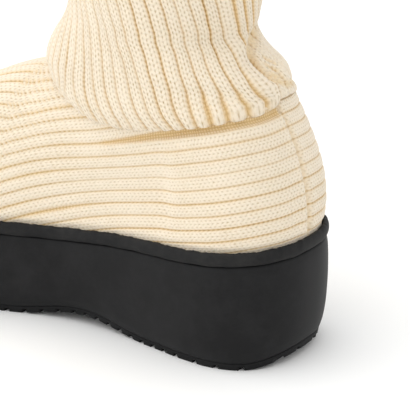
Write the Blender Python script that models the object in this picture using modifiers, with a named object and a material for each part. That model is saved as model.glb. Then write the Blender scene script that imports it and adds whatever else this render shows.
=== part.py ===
"""Knitted sock boot on a platform sole, a left shoe, in metres.

While it is modelled, x runs from the back of the heel to the toe, +y is the lateral side and z = 0 is
the floor. At the end everything hangs from one empty that puts the middle of its footprint at the origin.
"""

import math

import bmesh
import bpy
from mathutils import Vector

MM = 0.001

# Driving dimensions, millimetres
SOLE_LENGTH = 268.0
HEEL_HALF_WIDTH = 36.0
HEEL_CENTRE = 34.0
HEEL_ROUNDNESS = 2.25
TOE_CENTRE = 190.0
TOE_ROUNDNESS = 2.3
TOE_TIP_Y = -8.0

HEEL_RUN = 0.17
TOE_RUN = 0.68

TREAD = 2.8
LUG_DEPTH = 1.6
GROOVE = 2.0
GROOVE_SLOPE = 0.3
TREAD_INSET_TOP = 3.2
TREAD_INSET_FLOOR = 3.8
TREAD_END_RUNS = (0.0, 0.015, 0.03, 0.93, 0.955, 0.98, 1.0)
CHANNEL_HALF_WIDTH = 2.6
CHANNEL_FLOOR_SHARE = 0.85
CHANNEL_MOST_SHARE = 0.25
CHANNEL_START = 22.0
CHANNEL_END = 244.0
HEEL_BEVEL = 6.0
HEEL_BEVEL_LENGTH = 18.0
ARCH_RISE = 4.3
ARCH_START = 62.0
ARCH_END = 134.0
SPRING_START = 206.0
TOE_SPRING = 10.0

RAND_HEIGHT = 5.5
RAND_THICKNESS = 2.4
INSOLE_THICKNESS = 4.0
INSOLE_FOOT_INSET = 0.6
INSOLE_BEVEL = 1.0
KNIT_WALL = 2.6
SHAFT_WALL = 2.6
GAP = 0.35
PLATFORM_GAP = 0.6
CURVED_GAP = 0.6
INSOLE_GAP = 1.0
SEAM_DIP = 1.2
SEAM_REACH = 0.012
SEAM_START = 3.0
SEAM_STOP = 4.0
INSIDE_FOOT = (110.0, 0.0, 62.0)
INSIDE_LEG = (70.0, 0.0, 150.0)

# Curve of the foot's meridians: how far up the first handle stands, how much less where the knit is
# steep, and how long the second handle is where the knit is flat and where it is steep
FIRST_HANDLE = 0.54
FIRST_HANDLE_STEEP = 0.2
SECOND_HANDLE_FLAT = 0.58
SECOND_HANDLE_STEEP = 0.34

# Counts of stations, and the angle past which an edge is left sharp
PLATFORM_STATIONS = 46
INSOLE_STATIONS = 32
RAND_STATIONS = 44
SHAFT_COLUMNS = 52
UPPER_ROWS = 9
LINE_STEPS = 400
HALVINGS = 40
SAMPLE = 1e-4
SHARP_ANGLE = 35.0

# Grooves across the tread: wide bars under the heel, narrow ones in the arch. x is the middle of the
# band's first groove
TREAD_BANDS = [
    {"x": 6.6, "pitch": 9.9, "count": 5},
    {"x": 53.0, "pitch": 6.2, "count": 9},
    {"x": 110.4, "pitch": 8.0, "count": 18},
]

# Half widths of the rand measured from the heel's centre line, between the round heel and the round toe
OUTLINE = [
    {"x": 34.0, "lateral": 36.0, "medial": 36.0},
    {"x": 45.0, "lateral": 35.0, "medial": 35.2},
    {"x": 60.0, "lateral": 32.4, "medial": 32.8},
    {"x": 76.0, "lateral": 30.0, "medial": 30.2},
    {"x": 92.0, "lateral": 28.8, "medial": 29.0},
    {"x": 107.0, "lateral": 29.2, "medial": 30.2},
    {"x": 124.0, "lateral": 32.4, "medial": 35.2},
    {"x": 146.0, "lateral": 38.6, "medial": 44.0},
    {"x": 168.0, "lateral": 43.2, "medial": 50.8},
    {"x": 190.0, "lateral": 44.8, "medial": 53.6},
]

# Top edge of the rand, seen from the side
TOP_LINE = [
    {"x": 0.0, "z": 52.8},
    {"x": 34.0, "z": 49.9},
    {"x": 75.0, "z": 46.6},
    {"x": 105.0, "z": 43.4},
    {"x": 135.0, "z": 42.2},
    {"x": 190.0, "z": 41.2},
    {"x": 232.0, "z": 42.6},
    {"x": 268.0, "z": 46.4},
]

# Platform wall, from its foot to the groove under the rand: how far it lies inside the rand's face
PLATFORM_WALL = [
    {"level": 0.0, "inset": 3.3},
    {"level": 0.07, "inset": 2.1},
    {"level": 0.18, "inset": 1.1},
    {"level": 0.34, "inset": 0.4},
    {"level": 0.6, "inset": 0.0},
    {"level": 0.9, "inset": 0.3},
    {"level": 1.0, "inset": 1.1},
]

# Section of the rand: a rounded band standing on the platform
RAND_SECTION = [
    {"inset": RAND_THICKNESS, "level": 0.0},
    {"inset": 0.9, "level": 0.0},
    {"inset": 0.15, "level": 0.2},
    {"inset": 0.0, "level": 0.55},
    {"inset": 0.45, "level": 0.88},
    {"inset": 1.3, "level": 1.0},
    {"inset": RAND_THICKNESS, "level": 0.97},
]

# Foot of the knit: one row for each meridian, from the heel seam (run 0) to the toe tip (run 1).
# The upper ends of the first rows are the ankle joint, the others lie on the ridge of the vamp.
# side is the half width at the upper end, lean the slope of the meridian there, full its outward swell.
FOOT_SECTIONS = [
    {"run": 0.00, "x": 19.4, "side": 0.0, "z": 106.2, "lean": 52.0, "full": 1.0},
    {"run": 0.05, "x": 20.2, "side": 13.2, "z": 106.0, "lean": 59.0, "full": 4.0},
    {"run": 0.10, "x": 25.0, "side": 23.4, "z": 104.2, "lean": 67.0, "full": 5.0},
    {"run": 0.17, "x": 39.0, "side": 30.4, "z": 99.6, "lean": 75.0, "full": 4.0},
    {"run": 0.27, "x": 62.0, "side": 31.4, "z": 95.2, "lean": 82.0, "full": 4.2},
    {"run": 0.37, "x": 86.0, "side": 28.0, "z": 94.2, "lean": 76.0, "full": 5.4},
    {"run": 0.43, "x": 102.0, "side": 22.5, "z": 98.4, "lean": 60.0, "full": 5.0},
    {"run": 0.465, "x": 112.0, "side": 17.0, "z": 102.0, "lean": 46.0, "full": 4.2},
    {"run": 0.49, "x": 119.5, "side": 11.0, "z": 105.0, "lean": 32.0, "full": 3.4},
    {"run": 0.507, "x": 123.6, "side": 5.6, "z": 107.0, "lean": 18.0, "full": 3.0},
    {"run": 0.52, "x": 125.6, "side": 0.0, "z": 108.0, "lean": 4.0, "full": 2.6},
    {"run": 0.58, "x": 148.0, "side": 0.0, "z": 101.2, "lean": 0.0, "full": 1.8},
    {"run": 0.66, "x": 170.0, "side": 0.0, "z": 91.6, "lean": 0.0, "full": 1.0},
    {"run": 0.76, "x": 194.0, "side": 0.0, "z": 82.4, "lean": 0.0, "full": 0.6},
    {"run": 0.87, "x": 212.0, "side": 0.0, "z": 77.2, "lean": 4.0, "full": 0.6},
    {"run": 1.00, "x": 222.0, "side": 0.0, "z": 74.4, "lean": 12.0, "full": 0.6},
]
ANKLE_END = 0.52
RIDGE_SHIFT_START = 148.0
RIDGE_SHIFT_END = 222.0

# Roll of the shaft over the ankle joint: climb is the share of the way up to the first full ring,
# lateral and medial push it outward at the sides, sag lets it hang
SHAFT_ROLL = [
    {"climb": 0.0, "lateral": -2.4, "medial": -2.4, "rear": -2.4, "sag": 0.0},
    {"climb": 0.0, "lateral": 0.0, "medial": 0.0, "rear": 0.0, "sag": 0.0},
    {"climb": 0.03, "lateral": 1.8, "medial": 1.4, "rear": 1.3, "sag": 0.5},
    {"climb": 0.14, "lateral": 3.0, "medial": 2.0, "rear": 1.5, "sag": 0.0},
    {"climb": 0.38, "lateral": 3.2, "medial": 1.6, "rear": 1.1, "sag": 0.0},
    {"climb": 0.7, "lateral": 1.6, "medial": 0.7, "rear": 0.5, "sag": 0.0},
]

# Full rings of the shaft. The back folds in above the ankle and the rest stands slack
SHAFT_RINGS = [
    {"z": 113.0, "back": 16.6, "front": 124.8, "half": 36.4},
    {"z": 117.0, "back": 19.6, "front": 123.9, "half": 36.8},
    {"z": 121.5, "back": 25.2, "front": 121.8, "half": 36.6},
    {"z": 126.0, "back": 30.0, "front": 118.8, "half": 36.0},
    {"z": 130.7, "back": 33.4, "front": 115.2, "half": 35.3},
    {"z": 136.0, "back": 32.4, "front": 112.6, "half": 34.7},
    {"z": 144.0, "back": 30.8, "front": 111.0, "half": 34.3},
    {"z": 156.0, "back": 29.2, "front": 110.4, "half": 34.6},
    {"z": 172.0, "back": 26.8, "front": 109.8, "half": 35.4},
    {"z": 190.0, "back": 27.4, "front": 110.6, "half": 35.6},
    {"z": 210.0, "back": 25.6, "front": 111.4, "half": 36.4},
    {"z": 235.0, "back": 25.0, "front": 112.6, "half": 36.8},
]

# Crease behind the ankle, where the side of the leg sinks over the back. turn is in degrees from the
# back, positive towards the lateral side
SHAFT_CREASE = [
    {"z": 106.0, "turn": 2.0, "depth": 0.0},
    {"z": 113.0, "turn": 6.0, "depth": 1.4},
    {"z": 118.0, "turn": 10.0, "depth": 2.8},
    {"z": 122.0, "turn": 9.0, "depth": 3.2},
    {"z": 126.0, "turn": 2.0, "depth": 2.4},
    {"z": 129.0, "turn": -8.0, "depth": 1.4},
    {"z": 133.0, "turn": -24.0, "depth": 0.0},
]
CREASE_WIDTH = 9.0
LOBE_WIDTH = 12.6
LOBE_OFFSET = 24.0
LOBE_SHARE = 0.5

# Stations of the knitted foot along the run
FOOT_RUNS = (
    [0.0, 0.006, 0.014]
    + [0.035 + 0.033 * i for i in range(14)]
    + [0.494, 0.507, 0.52]
    + [0.55 + 0.05 * i for i in range(9)]
    + [0.975, 1.0]
)

KNIT = {"colour": (0.86, 0.76, 0.58, 1.0), "roughness": 0.9}
RUBBER = {"colour": (0.022, 0.022, 0.024, 1.0), "roughness": 0.62}
LINING = {"colour": (0.72, 0.64, 0.5, 1.0), "roughness": 0.9}


def smooth(rows, key, column, at):
    """Value of a table's column at a place, on a curve through its rows."""
    keys = [row[key] for row in rows]
    values = [row[column] for row in rows]
    at = min(max(at, keys[0]), keys[-1])
    i = max(j for j in range(len(keys) - 1) if keys[j] <= at)
    step = keys[i + 1] - keys[i]

    def slope(j):
        low, high = max(j - 1, 0), min(j + 1, len(keys) - 1)
        return (values[high] - values[low]) / (keys[high] - keys[low])

    t = (at - keys[i]) / step
    return (
        (2 * t**3 - 3 * t**2 + 1) * values[i]
        + (t**3 - 2 * t**2 + t) * step * slope(i)
        + (3 * t**2 - 2 * t**3) * values[i + 1]
        + (t**3 - t**2) * step * slope(i + 1)
    )


def sole_x(run):
    """Distance from the heel's back, for a share of the way from heel to toe."""
    if run < HEEL_RUN:
        turn = run / HEEL_RUN * math.pi / 2
        return HEEL_CENTRE * (1 - math.cos(turn) ** (2 / HEEL_ROUNDNESS))
    if run > TOE_RUN:
        turn = (1 - run) / (1 - TOE_RUN) * math.pi / 2
        return SOLE_LENGTH - (SOLE_LENGTH - TOE_CENTRE) * (1 - math.cos(turn) ** (2 / TOE_ROUNDNESS))
    return HEEL_CENTRE + (TOE_CENTRE - HEEL_CENTRE) * (run - HEEL_RUN) / (TOE_RUN - HEEL_RUN)


def rand_edge(run, side):
    """Point of the rand's outer face in plan. side is 1 for lateral and -1 for medial."""
    column = "lateral" if side > 0 else "medial"
    x = sole_x(run)
    if run < HEEL_RUN:
        turn = run / HEEL_RUN * math.pi / 2
        return Vector((x, side * HEEL_HALF_WIDTH * math.sin(turn) ** (2 / HEEL_ROUNDNESS)))
    if run > TOE_RUN:
        turn = (1 - run) / (1 - TOE_RUN) * math.pi / 2
        reach = side * OUTLINE[-1][column] - TOE_TIP_Y
        return Vector((x, TOE_TIP_Y + reach * max(math.sin(turn), 0.0) ** (2 / TOE_ROUNDNESS)))
    return Vector((x, side * smooth(OUTLINE, "x", column, x)))


def outline(run, side, inset=0.0):
    """Point of the sole's outline in plan, moved straight inward by inset."""
    if run <= 0.0:
        return Vector((inset, 0.0))
    if run >= 1.0:
        return Vector((SOLE_LENGTH - inset, TOE_TIP_Y))
    before = rand_edge(max(run - SAMPLE, 0.0), side)
    after = rand_edge(min(run + SAMPLE, 1.0), side)
    along = (after - before).normalized()
    inward = Vector((along.y, -along.x)) * side
    return rand_edge(run, side) + inward * inset


def tread_run(x):
    """The share of the way from heel to toe at which the tread's edge is that far along."""
    low, high = 0.0, 1.0
    for _ in range(HALVINGS):
        middle = (low + high) / 2
        if outline(middle, 1, TREAD_INSET_FLOOR).x < x:
            low = middle
        else:
            high = middle
    return (low + high) / 2


def rand_top(x):
    return smooth(TOP_LINE, "x", "z", x)


def platform_top(x):
    return rand_top(x) - RAND_HEIGHT - GAP


def floor_line(x):
    """Height of the tread's face: bevelled heel, arch and toe spring, flat on the floor between them."""
    if x < HEEL_BEVEL_LENGTH:
        return HEEL_BEVEL * (1 - x / HEEL_BEVEL_LENGTH) ** 2
    if ARCH_START < x < ARCH_END:
        return ARCH_RISE * math.sin(math.pi * (x - ARCH_START) / (ARCH_END - ARCH_START)) ** 2
    if x > SPRING_START:
        return TOE_SPRING * ((x - SPRING_START) / (SOLE_LENGTH - SPRING_START)) ** 2
    return 0.0


def even_runs(count):
    return [i / count for i in range(count + 1)]


def make_material(name, finish):
    material = bpy.data.materials.new(name)
    material.use_nodes = True
    shader = material.node_tree.nodes["Principled BSDF"]
    shader.inputs["Base Color"].default_value = finish["colour"]
    shader.inputs["Roughness"].default_value = finish["roughness"]
    shader.inputs["Metallic"].default_value = 0.0
    material.diffuse_color = finish["colour"]
    return material


def add_mesh(name, grid, closed, material, collection, parent):
    """Makes one object from a grid of points in millimetres, joined where points meet.

    Each row of the grid is one station. closed joins the last point of each row to its first.
    """
    mesh = bpy.data.meshes.new(name)
    shape = bmesh.new()
    rows = [[shape.verts.new(point * MM) for point in row] for row in grid]
    for near, far in zip(rows, rows[1:]):
        count = len(near)
        for i in range(count if closed else count - 1):
            j = (i + 1) % count
            shape.faces.new((near[i], far[i], far[j], near[j]))
    bmesh.ops.remove_doubles(shape, verts=shape.verts, dist=0.02 * MM)
    bmesh.ops.dissolve_degenerate(shape, edges=shape.edges, dist=0.001 * MM)
    bmesh.ops.recalc_face_normals(shape, faces=shape.faces)
    shape.to_mesh(mesh)
    shape.free()
    mesh.materials.append(material)
    mesh.shade_smooth()
    mesh.set_sharp_from_angle(angle=math.radians(SHARP_ANGLE))
    thing = bpy.data.objects.new(name, mesh)
    collection.objects.link(thing)
    thing.parent = parent
    return thing


def solidify(thing, thickness):
    """Gives an open surface its wall, on the inner side."""
    wall = thing.modifiers.new("wall", "SOLIDIFY")
    wall.thickness = thickness * MM
    wall.offset = -1.0
    wall.use_even_offset = True
    wall.use_rim = True


def face_outward(thing, centre):
    """Turns an open surface so that its faces look away from a point inside it."""
    shape = bmesh.new()
    shape.from_mesh(thing.data)
    inward = sum(
        1 if face.normal.dot(face.calc_center_median() - centre * MM) < 0 else -1 for face in shape.faces
    )
    if inward > 0:
        bmesh.ops.reverse_faces(shape, faces=shape.faces)
    shape.to_mesh(thing.data)
    shape.free()


def slab_section(run, wall):
    """Closed section across the sole: up the lateral wall and down the medial one.

    wall is a list of (inset, height function) from the foot of the wall to its top.
    """
    loop = []
    for side, levels in ((1, wall), (-1, reversed(wall))):
        for inset, height in levels:
            point = outline(run, side, inset)
            loop.append(Vector((point.x, point.y, height(point.x))))
    return loop


def tread_stations():
    """Places of the tread's sections along the run, each with whether it lies in a groove."""
    stations = []
    for band in TREAD_BANDS:
        for k in range(band["count"]):
            middle = band["x"] + band["pitch"] * k
            for edge, enters in ((middle - GROOVE / 2, True), (middle + GROOVE / 2, False)):
                stations.append((tread_run(edge - GROOVE_SLOPE / 2), not enters))
                stations.append((tread_run(edge + GROOVE_SLOPE / 2), enters))
    return sorted(stations + [(run, False) for run in TREAD_END_RUNS])


def outsole_grid():
    """Tread layer: bars across the sole, parted by grooves and by one channel along the middle."""
    grid = []
    for run, in_groove in tread_stations():
        channel = CHANNEL_START < sole_x(run) < CHANNEL_END
        lift = LUG_DEPTH if in_groove else 0.0
        channel_lift = LUG_DEPTH if channel else lift
        row = []
        for side in (1, -1):
            floor_point = outline(run, side, TREAD_INSET_FLOOR)
            top_point = outline(run, side, TREAD_INSET_TOP)
            row.append(
                [
                    Vector((*top_point, floor_line(top_point.x) + TREAD)),
                    Vector((*floor_point, floor_line(floor_point.x) + lift)),
                ]
            )
        lateral, medial = row
        middle_y = (lateral[1].y + medial[1].y) / 2
        reach = min(CHANNEL_HALF_WIDTH, (lateral[1].y - medial[1].y) * CHANNEL_MOST_SHARE)
        inner = reach * CHANNEL_FLOOR_SHARE
        x = (lateral[1].x + medial[1].x) / 2
        floor_z = floor_line(x)
        groove_row = [
            Vector((x, middle_y + reach, floor_z + lift)),
            Vector((x, middle_y + inner, floor_z + channel_lift)),
            Vector((x, middle_y - inner, floor_z + channel_lift)),
            Vector((x, middle_y - reach, floor_z + lift)),
        ]
        grid.append([*lateral, *groove_row, medial[1], medial[0]])
    return grid


def platform_grid():
    """Platform body: swelling wall, resting on the tread and carrying the rand."""

    def level_height(level):
        def height(x):
            low = floor_line(x) + TREAD + PLATFORM_GAP
            return low + (platform_top(x) - low) * level

        return height

    wall = [(row["inset"], level_height(row["level"])) for row in PLATFORM_WALL]
    return [slab_section(run, wall) for run in even_runs(PLATFORM_STATIONS)]


def insole_grid():
    """Footbed, lying on the platform inside the knit."""
    edge = RAND_THICKNESS + CURVED_GAP + KNIT_WALL + INSOLE_GAP

    def at_height(rise):
        return lambda x: platform_top(x) + GAP + rise

    wall = [
        (edge + INSOLE_FOOT_INSET, at_height(0.0)),
        (edge, at_height(INSOLE_BEVEL)),
        (edge, at_height(INSOLE_THICKNESS - INSOLE_BEVEL)),
        (edge + INSOLE_BEVEL, at_height(INSOLE_THICKNESS)),
    ]
    return [slab_section(run, wall) for run in even_runs(INSOLE_STATIONS)]


def rand_grid():
    """Band around the foot of the knit: a station is a closed section, and the stations go all round."""
    shares = even_runs(RAND_STATIONS)
    runs = [(run, 1) for run in shares] + [(run, -1) for run in reversed(shares[:-1])]
    grid = []
    for run, side in runs:
        section = []
        for row in RAND_SECTION:
            point = outline(run, side, row["inset"])
            foot = platform_top(point.x) + GAP
            section.append(Vector((*point, foot + row["level"] * RAND_HEIGHT)))
        grid.append(section)
    return grid


def foot_top(run, side):
    """Upper end of a meridian of the knitted foot: on the ankle joint, or on the ridge of the vamp."""
    x = smooth(FOOT_SECTIONS, "run", "x", run)
    half = smooth(FOOT_SECTIONS, "run", "side", run) if run < ANKLE_END else 0.0
    shift = min(max((x - RIDGE_SHIFT_START) / (RIDGE_SHIFT_END - RIDGE_SHIFT_START), 0.0), 1.0)
    ridge_y = TOE_TIP_Y * shift * shift * (3 - 2 * shift)
    return Vector((x, ridge_y + side * max(half, 0.0), smooth(FOOT_SECTIONS, "run", "z", run)))


def foot_foot(run, side, rise=0.0):
    """Lower end of a meridian, standing on the platform inside the rand, moved up by rise."""
    point = outline(run, side, RAND_THICKNESS + CURVED_GAP)
    return Vector((*point, platform_top(point.x) + CURVED_GAP + rise))


def foot_point(run, side, share):
    """Point of the knitted foot's outer face, share of the way up its meridian above the rand."""
    low, high = foot_foot(run, side, RAND_HEIGHT), foot_top(run, side)
    plan = Vector((high.x - low.x, high.y - low.y, 0.0))
    reach = plan.length
    inward = plan.normalized()
    rise = high.z - low.z
    lean = math.radians(smooth(FOOT_SECTIONS, "run", "lean", run))
    full = smooth(FOOT_SECTIONS, "run", "full", run)
    arrival = inward * math.cos(lean) + Vector((0.0, 0.0, math.sin(lean)))
    upright = math.sin(lean)
    first = low + Vector((0.0, 0.0, rise * (FIRST_HANDLE - FIRST_HANDLE_STEEP * upright))) - inward * full
    handle = reach * SECOND_HANDLE_FLAT * (1 - upright) + rise * SECOND_HANDLE_STEEP * upright
    second = high - arrival * handle
    t = share
    point = low * (1 - t) ** 3 + first * 3 * t * (1 - t) ** 2 + second * 3 * t**2 * (1 - t) + high * t**3
    fade = min(1.0, SEAM_START * share, SEAM_STOP * (1 - share))
    dip = SEAM_DIP * max(0.0, 1.0 - run / SEAM_REACH) * fade
    return point + inward * dip


def foot_grid():
    """Outer face of the knitted foot, from the rand to the ankle joint and over the vamp."""
    shares = [i / UPPER_ROWS for i in range(UPPER_ROWS + 1)]
    runs = [(run, 1) for run in FOOT_RUNS] + [(run, -1) for run in reversed(FOOT_RUNS[:-1])]
    return [[foot_foot(*run)] + [foot_point(*run, share) for share in shares] for run in runs]


def ankle_loop(count):
    """Evenly spaced points of the ankle joint, from the seam along the lateral side and back."""
    lateral = [foot_top(ANKLE_END * share, 1) for share in even_runs(LINE_STEPS)]
    loop = lateral + [Vector((p.x, -p.y, p.z)) for p in reversed(lateral[1:-1])]
    loop.append(loop[0])
    lengths = [0.0]
    for near, far in zip(loop, loop[1:]):
        lengths.append(lengths[-1] + (far - near).length)
    points = []
    i = 0
    for k in range(count):
        target = lengths[-1] * k / count
        while lengths[i + 1] < target:
            i += 1
        t = (target - lengths[i]) / (lengths[i + 1] - lengths[i])
        points.append(loop[i].lerp(loop[i + 1], t))
    return points


def ring_point(row, turn):
    """Point of a full ring of the shaft. turn 0 is the back and a quarter turn the lateral side."""
    middle = (row["back"] + row["front"]) / 2
    reach = (row["front"] - row["back"]) / 2
    return Vector((middle - reach * math.cos(turn), row["half"] * math.sin(turn), row["z"]))


def crease_depth(z, turn):
    """How far the leg's face is pressed in by the crease behind the ankle, or raised beside it."""
    depth = smooth(SHAFT_CREASE, "z", "depth", z)
    place = smooth(SHAFT_CREASE, "z", "turn", z)
    away = (math.degrees(turn) - place + 180.0) % 360.0 - 180.0
    trough = math.exp(-((away / CREASE_WIDTH) ** 2))
    ridge = math.exp(-(((away - LOBE_OFFSET) / LOBE_WIDTH) ** 2))
    return depth * (trough - LOBE_SHARE * ridge)


def shaft_grid():
    """Outer face of the leg tube: it rolls over the ankle joint, folds in behind and stands slack."""
    joint = ankle_loop(SHAFT_COLUMNS)
    centre = sum(joint, Vector()) / len(joint)
    grid = []
    for k, point in enumerate(joint):
        turn = 2 * math.pi * k / SHAFT_COLUMNS
        outward = point - joint[k - 1] + joint[(k + 1) % SHAFT_COLUMNS] - point
        outward = Vector((outward.y, -outward.x, 0.0)).normalized()
        if outward.dot(point - centre) < 0:
            outward = -outward
        seat = point + Vector((0.0, 0.0, CURVED_GAP))
        first = ring_point(SHAFT_RINGS[0], turn)
        side = math.sin(turn) ** 2
        column = []
        for row in SHAFT_ROLL:
            push = row["lateral" if turn < math.pi else "medial"] * side + row["rear"] * (1 - side)
            hang = Vector((0.0, 0.0, -row["sag"]))
            column.append(seat.lerp(first, row["climb"]) + outward * push + hang)
        column += [ring_point(row, turn) for row in SHAFT_RINGS]
        inward = Vector((math.cos(turn), -math.sin(turn), 0.0))
        grid.append([place + inward * crease_depth(place.z, turn) for place in column])
    grid.append(grid[0])
    return grid


def build():
    for thing in list(bpy.data.objects):
        bpy.data.objects.remove(thing)
    collection = bpy.data.collections.new("sock boot")
    bpy.context.scene.collection.children.link(collection)
    stand = bpy.data.objects.new("boot", None)
    collection.objects.link(stand)

    knit = make_material("rib knit", KNIT)
    rubber = make_material("moulded rubber", RUBBER)
    lining = make_material("lining cloth", LINING)

    add_mesh("outsole", outsole_grid(), True, rubber, collection, stand)
    add_mesh("midsole", platform_grid(), True, rubber, collection, stand)
    add_mesh("rand", rand_grid(), True, rubber, collection, stand)
    add_mesh("insole", insole_grid(), True, lining, collection, stand)

    foot = add_mesh("upper", foot_grid(), False, knit, collection, stand)
    face_outward(foot, Vector(INSIDE_FOOT))
    solidify(foot, KNIT_WALL)

    leg = add_mesh("shaft", shaft_grid(), False, knit, collection, stand)
    face_outward(leg, Vector(INSIDE_LEG))
    solidify(leg, SHAFT_WALL)

    widest_lateral = max(outline(run, 1).y for run in even_runs(LINE_STEPS))
    widest_medial = min(outline(run, -1).y for run in even_runs(LINE_STEPS))
    stand.location = (-SOLE_LENGTH / 2 * MM, -(widest_lateral + widest_medial) / 2 * MM, 0.0)


build()
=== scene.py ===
"""Looks of the knitted sock boot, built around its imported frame.

Sizes are in millimetres in the last's own axes, and Last.to_frame turns them into metres of the frame:
x runs from the back of the heel to the toe, +y is the outer side of the foot and z = 0 is the floor.
A run goes round the sole from the heel (0) to the toe (1), on the outer side (1) or the inner side (-1).
"""

import logging
import math
from dataclasses import dataclass, field
from enum import Enum
from typing import Any, Mapping, Sequence

import bpy
import numpy as np
from mathutils import Matrix, Vector

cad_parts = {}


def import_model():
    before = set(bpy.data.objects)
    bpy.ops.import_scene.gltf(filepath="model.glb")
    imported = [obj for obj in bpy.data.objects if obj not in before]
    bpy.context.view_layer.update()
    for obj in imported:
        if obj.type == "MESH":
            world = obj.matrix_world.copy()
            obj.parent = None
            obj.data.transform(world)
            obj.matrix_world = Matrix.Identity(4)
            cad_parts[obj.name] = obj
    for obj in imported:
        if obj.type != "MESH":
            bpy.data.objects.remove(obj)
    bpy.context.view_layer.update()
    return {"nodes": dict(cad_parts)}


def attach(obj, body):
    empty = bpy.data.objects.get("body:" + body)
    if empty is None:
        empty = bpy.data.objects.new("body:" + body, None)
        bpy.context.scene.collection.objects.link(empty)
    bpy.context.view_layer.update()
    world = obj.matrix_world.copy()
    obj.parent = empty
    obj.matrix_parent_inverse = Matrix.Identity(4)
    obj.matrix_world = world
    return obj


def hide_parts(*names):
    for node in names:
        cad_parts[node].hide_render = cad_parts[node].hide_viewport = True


log = logging.getLogger("sock_boot")

MM = 0.001
TINY = 1e-9
# Sockets of Blender's Mix node for colours: the factor, the two colours and the result.
MIX_FACTOR, MIX_FIRST, MIX_SECOND, MIX_RESULT = 0, 6, 7, 2
# How much lower a rib's shoulders are than its top, and how soon they rise.
RIB_ROUND = 0.22
RIB_POWER = 0.8


def hermite(keys: np.ndarray, values: np.ndarray, at: np.ndarray) -> np.ndarray:
    """Reads a smooth curve through known values.

    Args:
        keys: rising places of the values.
        values: one value for each key, or one row of them, with a curve for each column.
        at: places to read, of any shape that ends with the columns. They are held inside the keys.

    Returns:
        The values, in the shape of at.
    """
    at = np.clip(np.asarray(at, float), keys[0], keys[-1])
    reach = np.diff(keys).reshape((-1,) + (1,) * (values.ndim - 1))
    slopes = np.empty_like(values)
    slopes[0] = (values[1] - values[0]) / reach[0]
    slopes[-1] = (values[-1] - values[-2]) / reach[-1]
    slopes[1:-1] = (values[2:] - values[:-2]) / (reach[1:] + reach[:-1])
    i = np.clip(np.searchsorted(keys, at, side="right") - 1, 0, len(keys) - 2)
    column = (np.broadcast_to(np.arange(values.shape[1]), i.shape),) if values.ndim > 1 else ()
    step = keys[i + 1] - keys[i]
    t = (at - keys[i]) / step
    return (
        (2 * t**3 - 3 * t**2 + 1) * values[(i, *column)]
        + (t**3 - 2 * t**2 + t) * step * slopes[(i, *column)]
        + (3 * t**2 - 2 * t**3) * values[(i + 1, *column)]
        + (t**3 - t**2) * step * slopes[(i + 1, *column)]
    )


@dataclass(frozen=True)
class Table:
    """A table of sizes: columns names its columns, the key first, and its rows have rising keys."""

    columns: str
    rows: Sequence[Sequence[float]]

    def read(self, column: str, at: np.ndarray) -> np.ndarray:
        """Reads a column on a smooth curve through its rows, at places along the key."""
        values = np.array(self.rows, float)
        return hermite(values[:, 0], values[:, self.columns.split().index(column)], at)

    def each(self) -> list[dict[str, float]]:
        """Its rows, each as a column's name to its value."""
        return [dict(zip(self.columns.split(), row)) for row in self.rows]


def ease(value: np.ndarray, low: float, high: float) -> np.ndarray:
    """Rises smoothly from 0 to 1 as the value goes from low to high."""
    t = np.clip((np.asarray(value, float) - low) / (high - low), 0.0, 1.0)
    return t * t * (3 - 2 * t)


def from_least(least: float, share: np.ndarray) -> np.ndarray:
    """Rises from least to 1 as the share goes from 0 to 1."""
    return least + (1 - least) * share


def unit(vectors: np.ndarray) -> np.ndarray:
    """Vectors along the last axis, made one long."""
    return vectors / np.maximum(np.linalg.norm(vectors, axis=-1, keepdims=True), TINY)


def line_lengths(points: np.ndarray) -> np.ndarray:
    """Length run through at each point of a line, 0 at its first."""
    return np.concatenate([[0.0], np.cumsum(np.linalg.norm(np.diff(points, axis=0), axis=-1))])


def row_lengths(grid: np.ndarray) -> np.ndarray:
    """Length run through down each column of a grid of points, 0 in its first row."""
    steps = np.linalg.norm(np.diff(grid, axis=0), axis=-1)
    return np.concatenate([np.zeros((1, grid.shape[1])), np.cumsum(steps, axis=0)])


def closed(grid: np.ndarray) -> np.ndarray:
    """The grid with its first column once more at its end."""
    return np.concatenate([grid, grid[:, :1]], axis=1)


def spread_rows(grid: np.ndarray, count: int) -> np.ndarray:
    """Resamples each column of a grid at equal steps along its length.

    Args:
        grid: points, rows by columns by 3.
        count: number of rows wanted.

    Returns:
        The new grid, count rows by the same columns.
    """
    lengths = row_lengths(grid)
    out = np.empty((count, grid.shape[1], 3))
    for c in range(grid.shape[1]):
        wanted = np.linspace(0.0, lengths[-1, c], count)
        for axis in range(3):
            out[:, c, axis] = np.interp(wanted, lengths[:, c], grid[:, c, axis])
    return out


def curve_rows(knots: np.ndarray, steps: int) -> np.ndarray:
    """Smooth curve down each column of a grid, through all its rows.

    Args:
        knots: points, rows by columns by 3.
        steps: number of points made between two rows.

    Returns:
        The finer grid.
    """
    keys = np.concatenate([[0.0], np.cumsum(np.linalg.norm(np.diff(knots, axis=0), axis=-1).mean(axis=1))])
    at = keys[:-1, None] + np.diff(keys)[:, None] * np.arange(steps) / steps
    flat = knots.reshape(len(knots), -1)
    at = np.repeat(np.append(at, keys[-1])[:, None], flat.shape[1], axis=1)
    return hermite(keys, flat, at).reshape(-1, *knots.shape[1:])


def grid_normals(grid: np.ndarray) -> np.ndarray:
    """Unit normals of a closed grid of points, on the left of its columns as the rows climb."""
    across = np.roll(grid, -1, axis=1) - np.roll(grid, 1, axis=1)
    return unit(np.cross(np.gradient(grid, axis=0), across))


def ripple(length: np.ndarray, wave: float) -> np.ndarray:
    """Uneven wave along a line, the same each time.

    Args:
        length: places along the line.
        wave: usual length of one wave.

    Returns:
        The wave's height at each place, about -1 to 1.
    """
    turn = math.tau * np.asarray(length, float) / wave
    parts = (1.0, 0.0), (0.618, 1.3), (1.414, 4.1), (0.271, 2.2)
    return sum(np.sin(turn * pace + start + np.sin(turn * pace * 0.21)) for pace, start in parts) / 2.4


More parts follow.
